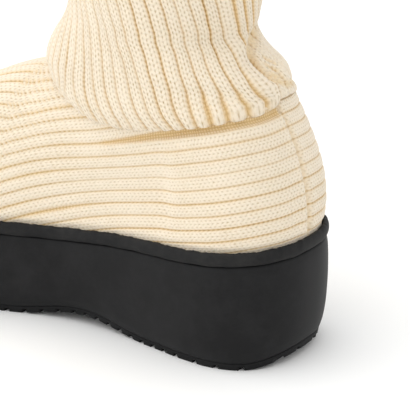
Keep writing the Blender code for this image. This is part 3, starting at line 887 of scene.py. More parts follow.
@dataclass
class KnitFoot:
    """Knitted foot: ribs run along it, dive into the rubber at the toe and end at the heel's seam.

    rib_lines gives, along the run, the height of rib line 0 over the rand, the ribs' pitch below it and
    above it, and how open the joint strip is. rib_dark gives how deep each valley line is and how much
    painted shade it gets.
    """

    last: Last
    # Fineness of the mesh, and places that get more of it: the run, how much and how widely.
    samples: int = 4001
    dense_runs: Sequence[tuple[float, float, float]] = ((0.5, 0.012, 0.03), (0.0, 0.03, 0.02))
    side_columns: int = 176
    rows: int = 168
    base_rows: int = 90
    inner_step: int = 4
    wall: float = 2.3
    # Ribs and the valleys between them, wider where the knit is slack and along the joint strip.
    rib_height: float = 0.8
    rib_root: float = -0.15
    valley_least: float = 0.4
    furrow_least: float = 0.8
    slack_least: float = 0.2
    slack_wave: Sequence[float] = (2.4, 26.0, 1.7, 1.3)
    slack_level: tuple[float, float] = (0.5, 0.1)
    slack_runs: tuple[float, float] = (0.28, 0.42)
    slack_calm: float = 0.75
    slack_calm_runs: tuple[float, float] = (0.4, 0.46)
    purl_reach: tuple[float, float] = (0.2, 0.5)
    valley_width: float = 0.45
    valley_slack: float = 0.35
    valley_joint: float = 0.75
    strip_depth: float = 0.5
    strip_opens: tuple[float, float] = (0.2, 1.0)
    # Painted shade on the joint strip, which lies sunk under the leg's hem.
    strip_darkens: tuple[float, float] = (0.1, 0.4)
    strip_sides: tuple[float, float] = (0.5, 1.3)
    # The seam up the back of the heel, with painted shade in it and a puff on each side, where the ribs end.
    rib_end: tuple[float, float] = (1.2, 3.8)
    rib_end_least: float = 0.25
    seam_shade: float = 0.5
    seam_depth: float = 2.0
    seam_width: float = 1.5
    puff_place: float = 3.6
    puff_width: float = 2.4
    puff_heights: tuple[float, float] = (0.75, 0.3)
    # The ribs start inside the band, and ahead of the ankle they follow the ridge.
    rand_reach: tuple[float, float] = (-0.4, 2.6)
    course: float = 2.2
    ridge_ribs: float = 10.5
    ridge_runs: tuple[float, float] = (0.49, 0.62)
    front_dark: float = 0.95
    front_runs: tuple[float, float] = (0.36, 0.44)
    rib_lines: Table = Table("run first pitch upper joint", (
        (0.0, 45.0, 5.45, 7.3, 1.5),
        (0.03, 44.9, 5.45, 7.3, 1.5),
        (0.093, 44.4, 5.45, 7.3, 1.5),
        (0.16, 41.8, 5.45, 7.3, 1.5),
        (0.225, 38.7, 5.45, 7.3, 1.3),
        (0.26, 37.0, 5.45, 7.2, 1.1),
        (0.3, 35.4, 5.5, 7.1, 0.8),
        (0.34, 34.0, 5.6, 6.9, 0.5),
        (0.375, 32.6, 5.7, 6.8, 0.1),
        (0.41, 30.6, 5.8, 6.6, 0.0),
        (0.449, 27.8, 5.9, 6.2, 0.0),
        (0.475, 25.2, 5.9, 5.9, 0.0),
        (0.493, 23.2, 5.9, 5.9, 0.0),
        (0.504, 21.8, 5.9, 5.9, 0.0),
    ))
    rib_dark: Table = Table("rib dark", (
        (-12.0, 0.95), (-3.0, 0.95), (-2.0, 0.8), (-1.0, 0.85), (0.0, 0.7), (1.0, 0.7),
        (2.0, 0.5), (3.0, 0.7), (4.0, 0.85), (5.0, 0.75), (6.0, 0.95), (8.0, 0.8),
    ))

    def runs(self) -> np.ndarray:
        """Runs of one side's meridians, closer together round the heel, the ankle's front and the toe.

        Returns:
            The runs, with one on the end of the ankle joint.
        """
        dense = np.linspace(0.0, 1.0, self.samples)
        edge = self.last.edge(dense, 1.0)
        step = np.linalg.norm(np.diff(edge, axis=0), axis=1)
        for place, amount, spread in self.dense_runs:
            step = step + amount * np.exp(-(((dense[1:] - place) / spread) ** 2))
        length = np.concatenate([[0.0], np.cumsum(step)])
        runs = np.interp(np.linspace(0, length[-1], self.side_columns + 1), length, dense)
        runs[int(np.argmin(np.abs(runs - self.last.ankle_end)))] = self.last.ankle_end
        return runs

    def base(self, run: np.ndarray, side: np.ndarray) -> tuple[np.ndarray, np.ndarray]:
        """Plain form of the foot, without ribs.

        Args:
            run: run of each meridian.
            side: side of each meridian.

        Returns:
            Points, rows by columns by 3, and for each its length above the rand's top.
        """
        shares = np.linspace(0.0, 1.0, self.base_rows)[:, None]
        low = self.last.foot_foot(run, side, 0.0)[None]
        body = self.last.foot_point(run[None], side[None], shares)
        grid = spread_rows(np.concatenate([low, body]), self.rows)
        return grid, row_lengths(grid) - np.linalg.norm(body[0] - low[0], axis=-1)

    def rib_map(self, run: np.ndarray, side: np.ndarray, above: np.ndarray) -> np.ndarray:
        """Rib coordinate: a whole number in each valley, rising towards the sole.

        Args:
            run: run of each meridian.
            side: side of each meridian.
            above: length above the rand's top, rows by columns.

        Returns:
            The coordinate, rows by columns.
        """
        pitch = self.rib_lines.read("pitch", run)
        ridge = above[-1] - self.ridge_ribs * self.rib_lines.rows[-1][2]
        forward = ease(run, *self.ridge_runs)
        first = self.rib_lines.read("first", run) * (1 - forward) + ridge * forward
        upper = np.where(side > 0, self.rib_lines.read("upper", run), pitch)
        down = first - above
        return np.where(down > 0, down / pitch, down / upper)

    def relief(
        self, run: np.ndarray, side: np.ndarray, rib: np.ndarray, above: np.ndarray, from_seam: np.ndarray
    ) -> tuple[np.ndarray, np.ndarray, np.ndarray]:
        """Ribs, joint strip and heel seam over the plain form.

        Args:
            run: run of each meridian.
            side: side of each meridian.
            rib: rib coordinate, rows by columns.
            above: length above the rand's top, rows by columns.
            from_seam: distance of each meridian from the heel's seam.

        Returns:
            The height over the form, the furrow that sets the painted shade, and the purl value of each
            point.
        """
        number = np.round(rib)
        away = np.abs(rib - number) * self.rib_lines.read("pitch", run)
        by_rib, by_run, slow, start = self.slack_wave
        slack = np.sin(by_rib * number + by_run * run[None]) + np.sin(slow * number + start)
        share, level = self.slack_level
        slack = np.clip(share * slack + level, 0, 1)
        slack = slack * from_least(self.slack_least, ease(run, *self.slack_runs))[None]
        joint = self.rib_lines.read("joint", run)[None] * (number == -1) * (side > 0)
        width = self.valley_width + self.valley_slack * slack + self.valley_joint * joint
        crown = rib_crown(away, width, rib - np.floor(rib))
        # How deep each valley line is and how much painted shade it gets, more ahead of the ankle and on the
        # strip.
        dark = np.clip(self.rib_dark.read("dark", number), 0, 1)
        dark = dark + (self.front_dark - dark) * ease(run, *self.front_runs)[None]
        dark = np.maximum(dark, ease(joint, *self.strip_darkens))
        crown = 1 - (1 - crown) * from_least(self.valley_least, dark)
        end = np.where(side > 0, ease(from_seam, *self.rib_end), 1.0)[None]
        crown = 1 - (1 - crown) * from_least(self.rib_end_least, end)

        near, far = self.strip_sides
        strip = ease(joint, *self.strip_opens) * (1 - ease(away, near * width, far * width))
        height = self.rib_root + self.rib_height * crown - self.strip_depth * strip
        seam = np.exp(-((from_seam / self.seam_width) ** 2))[None]
        puff = np.exp(-(((from_seam - self.puff_place) / self.puff_width) ** 2))[None]
        height = height + puff * np.where(side > 0, *self.puff_heights) - self.seam_depth * seam
        height = height * ease(above, *self.rand_reach)

        # The furrow carries the painted shade of the valleys and of the heel's seam.
        furrow = np.clip(1 - crown, 0, 1) * dark
        furrow = furrow * from_least(self.furrow_least, np.clip(slack + joint, 0, 1))
        open_knit = slack * (1 - self.slack_calm * ease(run, *self.slack_calm_runs)) + joint
        purl = np.clip(ease(furrow, *self.purl_reach) * open_knit, 0, 1)
        return height, np.maximum(furrow, seam * self.seam_shade), purl

    def build(self, materials: Sequence[bpy.types.Material]) -> bpy.types.Object:
        """Makes the piece.

        Args:
            materials: knit and lining.

        Returns:
            The new object.
        """
        run, side = self.last.both_sides(self.runs())
        columns = len(run)
        grid, above = self.base(run, side)
        normals = grid_normals(grid)
        rib = self.rib_map(run, side, above)
        plan = self.last.edge(run, side)
        along = line_lengths(np.concatenate([plan, plan[:1]]))
        from_seam = np.minimum(along[:-1], along[-1] - along[:-1])
        height, furrow, purl = self.relief(run, side, rib, above, from_seam)
        outer = grid + normals * height[..., None]
        inner_rows = np.unique(np.append(np.arange(0, self.rows, self.inner_step), self.rows - 1))
        inner = grid[inner_rows] - normals[inner_rows] * self.wall

        # Ahead of the ankle, the two sides' meridians meet on the ridge and share their last points.
        merged = run >= self.last.ankle_end - TINY
        partner = (columns - np.arange(columns)) % columns
        for sheet in (outer, inner):
            sheet[-1] = np.where(merged[:, None], (sheet[-1] + sheet[-1][partner]) / 2, sheet[-1])
        parts = MeshParts()
        outside = parts.add_points(outer, furrow, purl)
        inside = parts.add_points(inner)
        for numbers in (outside, inside):
            numbers[-1] = np.where(merged & (side < 0), numbers[-1][partner], numbers[-1])
        courses = np.broadcast_to(along / self.course, (self.rows, columns + 1))
        parts.add_faces(closed(outside), Role.KNIT, np.stack([closed(rib), courses], axis=-1))
        parts.add_faces(closed(inside), Role.LINING, flip=True)
        parts.add_faces(closed(np.stack([inside[0], outside[0]])), Role.LINING)
        opening = np.concatenate([np.arange(columns)[side < 0], np.arange(columns)[side > 0]])
        opening = opening[run[opening] <= self.last.ankle_end + TINY]
        parts.add_faces(np.stack([outside[-1][opening], inside[-1][opening]]), Role.LINING)
        return parts.make("knit_foot", self.last, materials)


@dataclass
class KnitShaft:
    """Rib-knit leg: slack tube whose ribs end in soft fingertips rolled over the foot's top edge.

    Turns are degrees round the leg from the back, positive towards the outer side. valleys gives for
    each visible valley its number, its turn at each of the levels, and its strength in depth and painted
    shade at dark_levels.
    """

    last: Last
    # Ribs all the way round, on an oval of this size, and the places of the mesh's columns in a rib.
    ribs: int = 46
    half_length: float = 51.0
    half_width: float = 36.6
    rib_columns: Sequence[float] = (0.0, 0.055, 0.12, 0.22, 0.36, 0.5, 0.64, 0.78, 0.88, 0.945)
    inner_steps: tuple[int, int] = (3, 2)
    wall: float = 2.3
    # Ribs, higher near the hem, and the valleys between them, wider where they are strong.
    rib_height: float = 1.05
    hem_height: float = 0.45
    rib_root: float = -0.35
    valley_width: float = 0.42
    valley_least: float = 0.45
    strong_valley: float = 0.4
    strong_from: float = 0.8
    pitch_share: float = 0.75
    pitch_range: tuple[float, float] = (4.5, 7.5)
    course: float = 2.1
    # The ribs' rounded ends at the hem.
    tip_length: float = 2.0
    tip_drop: float = 0.45
    tip_tuck: float = 0.6
    tip_least: float = 0.3
    tip_power: float = 0.7
    tip_level: float = 0.35
    tip_fade: float = 1.6
    tuck_reach: tuple[float, float] = (0.5, 3.0)
    roll_rows: int = 3
    knot_steps: int = 8
    # The hem gapes most at one turn, where the back of the knit shows.
    hem_reach: tuple[float, float] = (2.0, 24.0)
    gape: float = 0.12
    gape_more: float = 0.42
    gape_turn: float = 28.0
    gape_spread: float = 26.0
    gape_purl: float = 2.2
    purl_from: float = 0.9
    purl_reach: tuple[float, float] = (0.45, 0.75)
    row_step: float = 1.15
    # The pinch behind the ankle, its folds with painted shade in their troughs, and the soft lobe beside it,
    # which gets less painted shade, with turns and heights where the lobe starts and ends.
    across_per_degree: float = 0.72
    fold_reach: tuple[float, float] = (0.0, 4.0)
    crease_width: float = 9.0
    crease_shade: float = 0.7
    crease_least: float = 0.1
    lobe_start: tuple[float, float] = (-100.0, -60.0)
    lobe_end: tuple[float, float] = (-6.0, 3.0)
    lobe_top: tuple[float, float] = (124.0, 132.0)
    lobe_hem: tuple[float, float] = (0.0, 5.0)
    lobe_offset: float = 24.0
    lobe_spread: float = 1.4
    lobe_share: float = 0.5
    lobe_flat: float = 0.55
    lobe_clear: float = 0.75
    lobe_calm: float = 0.3
    lobe_drop: float = 1.3
    hem: Table = Table("turn drop", (
        (-180.0, 0.0), (-60.0, 0.6), (-18.0, 0.6), (-4.0, 2.2), (12.0, 4.2), (24.0, 3.2), (40.0, 2.0),
        (60.0, 0.8), (90.0, 0.4), (180.0, 0.0),
    ))
    roll: Table = Table("climb lateral medial rear sag", (
        (0.0, -2.4, -2.4, -2.4, 0.0),
        (0.0, 0.0, 0.0, 0.0, 0.0),
        (0.03, 1.8, 1.4, 1.3, 0.5),
        (0.14, 3.0, 2.0, 1.5, 0.0),
        (0.38, 3.2, 1.6, 1.1, 0.0),
        (0.7, 1.6, 0.7, 0.5, 0.0),
    ))
    rings: Table = Table("z back front half", (
        (113.0, 16.6, 124.8, 36.4),
        (117.0, 19.6, 123.9, 36.8),
        (121.5, 25.2, 121.8, 36.6),
        (126.0, 30.0, 118.8, 36.0),
        (130.7, 33.4, 115.2, 35.3),
        (136.0, 32.4, 112.6, 34.7),
        (144.0, 30.8, 111.0, 34.3),
        (156.0, 29.2, 110.4, 34.6),
        (172.0, 26.8, 109.8, 35.4),
        (190.0, 27.4, 110.6, 35.6),
        (210.0, 25.6, 111.4, 36.4),
        (235.0, 25.0, 112.6, 36.8),
    ))
    crease: Table = Table("z turn depth", (
        (106.0, 0.0, 0.0), (113.0, 3.0, 1.2), (118.0, 7.0, 2.8), (122.0, 6.0, 3.2), (126.0, -2.0, 2.4),
        (129.0, -10.0, 1.4), (133.0, -24.0, 0.0),
    ))
    folds: Sequence[Fold] = (
        Fold(((-16.0, 131.0), (-9.0, 129.0), (-4.0, 126.7)), -0.9, 2.4),
        Fold(((-4.0, 126.7), (0.5, 124.0), (2.6, 121.5), (3.6, 118.8), (2.6, 115.8)), -2.3, 1.7),
        Fold(((2.6, 116.0), (-2.5, 113.2), (-10.0, 110.4), (-26.0, 109.0)), -1.0, 1.6),
        Fold(((-30.0, 116.5), (-16.0, 115.5), (-5.0, 116.5)), 1.0, 4.0),
        Fold(((-3.5, 122.0), (-5.7, 120.2), (-7.0, 118.6)), -1.1, 1.0),
        Fold(((-0.2, 120.0), (-2.2, 118.3), (-5.2, 116.8)), -1.1, 1.0),
        Fold(((2.4, 116.5), (-0.2, 116.1), (-5.6, 114.5)), -1.1, 1.0),
        Fold(((4.3, 115.6), (-0.6, 114.2), (-3.2, 112.2)), -1.1, 1.0),
    )
    levels: Sequence[float] = (
        98.0, 103.0, 108.0, 113.0, 118.0, 123.0, 128.0, 133.0, 138.0, 143.0, 149.0, 165.0,
    )
    valleys: Sequence[tuple[int, Sequence[float], Sequence[float]]] = (
        (1, (-9, -7, -3, 1, 5, 3.2, 3.8, 6.9, 11.4, 15.3, 18.8, 21.3), (0.3, 0.8, 1.7)),
        (2, (0, 5.2, 11.7, 21.8, 22.6, 20.1, 18.8, 20.3, 24.2, 27.6, 31.1, 33.6), (1.1, 0.85, 0.65)),
        (3, (11.5, 17.7, 24.8, 32, 32.7, 30.8, 28.5, 29.2, 32.8, 35.9, 39.4, 41.9), (1.05, 0.85, 1.05)),
        (4, (22, 29.6, 36, 40.8, 40.7, 38.5, 36.3, 37.2, 40.7, 44.3, 47.8, 50.3), (1, 0.65, 0.6)),
        (5, (33, 40.2, 45.3, 49, 48.3, 45.9, 44.5, 45.7, 49.5, 52.7, 56.2, 58.7), (1.15, 0.7, 0.5)),
        (6, (43, 49.5, 53.6, 56.5, 55.5, 53.1, 51.9, 53.7, 57.5, 60.6, 64.1, 66.6), (0.8, 0.7, 0.75)),
        (7, (51.5, 57.4, 61.6, 64, 63, 61.1, 60.4, 62.5, 66.4, 69.7, 73.2, 75.7), (0.75, 0.85, 0.85)),
        (8, (59.5, 65.2, 68.9, 71.2, 70.5, 68.9, 69, 71.7, 75.7, 78.9, 82.4, 84.9), (0.75, 0.8, 0.85)),
        (9, (67.5, 72.3, 75.2, 77.2, 76.5, 75.6, 76.5, 79.7, 84.1, 87.6, 91.1, 93.6), (0.45, 0.45, 0.5)),
        (10, (75.7, 79.2, 81.6, 82.8, 81.9, 81, 82.8, 85.9, 90.9, 95, 98.5, 101), (0.6, 0.45, 0.4)),
        (11, (84.6, 86.8, 88.7, 89.3, 88.2, 87.1, 88, 91.9, 97.3, 101.6, 105.1, 107.6), (0.45, 0.4, 0.2)),
        (12, (91.7, 93.6, 95.2, 95.4, 94.2, 93.1, 94, 97.5, 102.3, 106.9, 110.4, 112.9), (0.65, 0.55, 0.4)),
        (13, (100, 101.4, 102.1, 101.6, 100.6, 99.9, 101.1, 105, 110.5, 115, 118.5, 121), (0.6, 0.4, 0.35)),
        (14, (108, 108.7, 108.7, 107.3, 105.5, 104.9, 106.8, 110.9, 116.2, 120.7, 124.2, 126.7),
         (0.85, 0.65, 0.35)),
        (15, (117, 117.3, 116.7, 114.6, 112.5, 111.6, 113.5, 117.5, 122.3, 126.8, 130.3, 132.8),
         (0.5, 0.45, 0.5)),
        (16, (127, 128.9, 124.5, 121, 119, 118.6, 120.8, 125, 130, 134.5, 138, 140.5), (0.5, 0.9, 0.5)),
    )
    # Strength in depth and painted shade of the ribs out of sight and of the two at the back.
    dark_levels: Sequence[float] = (107.0, 120.0, 137.0)
    far_dark: float = 0.7
    back_dark: Sequence[float] = (0.3, 0.45, 1.7)

    def joint(self, share: np.ndarray) -> np.ndarray:
        """Points of the ankle joint.

        Args:
            share: shares of its length from the seam round by the outer side.

        Returns:
            Points, with x, y and z along the last axis.
        """
        steps = np.linspace(0.0, self.last.ankle_end, 900)
        lateral = self.last.foot_top(steps, np.ones_like(steps))
        loop = np.concatenate([lateral, lateral[-2::-1] * np.array([1.0, -1.0, 1.0])])
        lengths = line_lengths(loop)
        wanted = (share % 1.0) * lengths[-1]
        return np.stack([np.interp(wanted, lengths, loop[:, i]) for i in range(3)], axis=-1)

    def form(self, columns: int = 720) -> np.ndarray:
        """Plain form of the leg on a fine even grid of turns.

        Args:
            columns: number of turns, the first at the back.

        Returns:
            Points, rows by columns by 3, from the tucked foot of the roll to the top edge.
        """
        turn = np.arange(columns) / columns * math.tau
        seat = self.joint(turn / math.tau) + np.array([0.0, 0.0, self.last.curved_gap])
        ahead = np.roll(seat, -1, axis=0) - np.roll(seat, 1, axis=0)
        outward = unit(np.stack([ahead[:, 1], -ahead[:, 0], np.zeros(columns)], axis=-1))
        outward *= np.sign((outward * (seat - seat.mean(axis=0))).sum(axis=1))[:, None]
        side = np.sin(turn) ** 2
        rings = []
        for row in self.rings.each():
            middle, reach = (row["back"] + row["front"]) / 2, (row["front"] - row["back"]) / 2
            x, y = middle - reach * np.cos(turn), row["half"] * np.sin(turn)
            rings.append(np.stack([x, y, np.full(columns, row["z"])], axis=-1))
        knots = []
        for row in self.roll.each():
            push = np.where(turn < math.pi, row["lateral"], row["medial"]) * side + row["rear"] * (1 - side)
            point = seat * (1 - row["climb"]) + rings[0] * row["climb"] + outward * push[:, None]
            knots.append(point - np.array([0.0, 0.0, row["sag"]]))
        grid = curve_rows(np.array(knots + rings), self.knot_steps)

        inward = np.stack([np.cos(turn), -np.sin(turn), np.zeros(columns)], axis=-1)
        off = (np.degrees(turn)[None] - self.crease.read("turn", grid[..., 2]) + 180.0) % 360.0 - 180.0
        trough = np.exp(-((off / self.crease_width) ** 2))
        ridge = np.exp(-(((off - self.lobe_offset) / (self.lobe_spread * self.crease_width)) ** 2))
        depth = self.crease.read("depth", grid[..., 2]) * (trough - self.lobe_share * ridge)
        grid = grid + inward[None] * depth[..., None]
        return spread_rows(grid, int(np.median(row_lengths(grid)[-1]) / self.row_step))

    def rib_index(self) -> np.ndarray:
        """Rib coordinate of each column, a whole number in each valley, from the deep crease round."""
        index = np.arange(self.ribs)[:, None] + np.array(self.rib_columns)[None]
        return self.valleys[0][0] + np.append(index.reshape(-1), float(self.ribs))

    def rib_turns(self, height: np.ndarray) -> np.ndarray:
        """Turn of each rib column at a height.

        The visible ribs follow the table. The others share the rest of the way round evenly.

        Args:
            height: heights, rows by columns.

        Returns:
            The turns in degrees, rows by columns.
        """
        index = self.rib_index()
        last_near = self.valleys[-1][0]
        dense = np.linspace(0.0, 2 * math.tau, 7201)
        ring = np.stack([-self.half_length * np.cos(dense), self.half_width * np.sin(dense)], axis=-1)
        length = line_lengths(ring)
        by_level = []
        ribs = np.array([row[0] for row in self.valleys], float)
        for turns in np.array([row[1] for row in self.valleys]).T:
            near = hermite(ribs, turns, index)
            ends = np.radians([near[index == last_near][0], near[0] + 360.0])
            start, end = np.interp(ends, dense, length)
            arc = start + (end - start) * (index - last_near) / (index[-1] - last_near)
            far = np.degrees(np.interp(arc, length, dense))
            by_level.append(np.where(index <= last_near, near, far))
        return hermite(np.array(self.levels), np.array(by_level), height)

    def valley_strength(self, height: np.ndarray) -> np.ndarray:
        """Depth and painted shade of the valley next to each rib column, 1 for a plain one.

        Args:
            height: heights, rows by columns.

        Returns:
            The strength, rows by columns.
        """
        nearest = np.round(self.rib_index()).astype(int)
        nearest = np.where(nearest > self.ribs, nearest - self.ribs, nearest)
        table = np.full((len(self.dark_levels), self.ribs + 1), self.far_dark)
        for rib, _, dark in self.valleys:
            table[:, rib] = dark
        table[:, -2:] = np.array(self.back_dark)[:, None]
        return hermite(np.array(self.dark_levels), table[:, nearest], height)

    def ribbed_form(self) -> tuple[np.ndarray, np.ndarray, np.ndarray]:
        """The plain form, with its columns laid along the ribs.

        Returns:
            Points, their normals, and the turn of each, rows by columns.
        """
        form = self.form()
        form_normals = grid_normals(form)
        rows, fine = form.shape[:2]
        around = np.arange(fine + 1) * 360.0 / fine
        start = np.full((1, len(self.rib_index())), self.rings.rows[1][0])
        placed = np.repeat(self.rib_turns(start), rows, axis=0)
        for _ in range(2):
            pairs = zip(placed, form[..., 2])
            levels = [np.interp(turns % 360.0, around, np.append(ring, ring[0])) for turns, ring in pairs]
            placed = self.rib_turns(np.stack(levels))
        spot = (placed % 360.0) * fine / 360.0
        low = np.floor(spot).astype(int) % fine
        high = (low + 1) % fine
        t = (spot - np.floor(spot))[..., None]
        row = np.arange(rows)[:, None]
        grid = form[row, low] * (1 - t) + form[row, high] * t
        return grid, unit(form_normals[row, low] * (1 - t) + form_normals[row, high] * t), placed

    def relief(
        self, grid: np.ndarray, lengths: np.ndarray, placed: np.ndarray
    ) -> tuple[np.ndarray, np.ndarray, np.ndarray, np.ndarray]:
        """Ribs, their ends at the hem and the creases over the plain form.

        Args:
            grid: points, rows by columns by 3.
            lengths: length from the roll's foot to each point.
            placed: turn of each point.

        Returns:
            The height over the form, the drop, the furrow (which sets the painted shade) and the purl value
            of each point.
        """
        rib = self.rib_index()
        share = (rib - np.floor(rib))[None]
        up = lengths - lengths[self.roll_rows]
        count = len(self.rib_columns)
        pitch = closed(np.repeat(np.diff(placed[:, ::count], axis=1), count, axis=1) * self.pitch_share)
        away = np.minimum(share, 1 - share) * np.clip(pitch, *self.pitch_range)
        signed = (placed + 180.0) % 360.0 - 180.0
        lobe = ease(signed, *self.lobe_start) * (1 - ease(signed, *self.lobe_end))
        lobe = lobe * (1 - ease(grid[..., 2], *self.lobe_top))
        near_hem = 1 - ease(up, *self.hem_reach)
        gape = self.gape + self.gape_more * np.exp(-(((signed - self.gape_turn) / self.gape_spread) ** 2))
        dark = self.valley_strength(grid[..., 2])
        strong = np.clip(dark - self.strong_from, 0, 1)
        width = self.valley_width + gape * near_hem**2 + self.strong_valley * strong
        deep = np.clip(from_least(self.valley_least, dark), 0, 1)
        crown = 1 - (1 - rib_crown(away, width, share)) * deep

        tip = np.clip(up / self.tip_length, 0, 1)
        rounded = np.sqrt(np.clip(1 - (1 - tip) ** 2, 0, 1))
        body = (self.rib_height + self.hem_height * near_hem) * (1 - self.lobe_flat * lobe)
        height = self.rib_root * rounded + body * crown * from_least(self.tip_least, rounded)
        height = height - self.tip_tuck * (1 - ease(up, 0.0, self.tip_length))
        hang = self.tip_drop * (np.sin(math.pi * share) ** self.tip_power - self.tip_level)
        hang = hang + self.hem.read("drop", signed)
        drop = hang * (1 - ease(up, 0.0, self.tip_length * self.tip_fade)) * (1 - lobe)
        drop = drop + self.lobe_drop * lobe * (1 - ease(up, *self.lobe_hem))
        tucked = ease(lengths, *self.tuck_reach)
        height = height * tucked
        # Painted shade in the troughs of the folds.
        fold_shade = np.zeros_like(height)
        for fold in self.folds:
            press = fold.strength(signed * self.across_per_degree, grid[..., 2]) * ease(up, *self.fold_reach)
            height = height + fold.depth * press
            fold_shade = np.maximum(fold_shade, self.crease_shade * press * (fold.depth < 0))

        # The furrow carries the painted shade of the valleys and fold troughs, and less of it on the lobe.
        furrow = np.clip((1 - crown) * dark, 0, 1) * (1 - self.lobe_clear * lobe)
        furrow = np.clip(np.maximum(furrow, fold_shade), 0, 1)
        furrow = furrow - self.lobe_calm * lobe * (fold_shade < self.crease_least)
        open_knit = near_hem * gape * self.gape_purl + np.clip(dark - self.purl_from, 0, 1)
        purl = np.clip(open_knit, 0, 1) * ease(1 - crown, *self.purl_reach)
        return height, drop * tucked, furrow, purl

    def build(self, materials: Sequence[bpy.types.Material]) -> bpy.types.Object:
        """Makes the piece.

        Args:
            materials: knit and lining.

        Returns:
            The new object.
        """
        grid, normals, placed = self.ribbed_form()
        rows, columns = placed.shape
        lengths = row_lengths(grid)
        height, drop, furrow, purl = self.relief(grid, lengths, placed)
        outer = grid + normals * height[..., None]
        outer[..., 2] -= drop
        row_step, column_step = self.inner_steps
        inner_rows = np.unique(np.append(np.arange(0, rows, row_step), rows - 1))
        pick = np.ix_(inner_rows, np.arange(0, columns, column_step))
        inner = grid[pick] - normals[pick] * self.wall

        parts = MeshParts()
        outside = closed(parts.add_points(outer[:, :-1], furrow[:, :-1], purl[:, :-1]))
        knit = np.stack([np.broadcast_to(self.rib_index(), lengths.shape), lengths / self.course], axis=-1)
        parts.add_faces(outside, Role.KNIT, knit)
        inside = closed(parts.add_points(inner[:, :-1]))
        parts.add_faces(inside, Role.LINING, flip=True)
        for end, flip in ((0, False), (-1, True)):
            rim = np.repeat(inside[end], column_step)[:columns]
            rim[-1] = inside[end][-1]
            parts.add_faces(np.stack([rim, outside[end]]), Role.LINING, flip=flip)
        return parts.make("knit_shaft", self.last, materials)


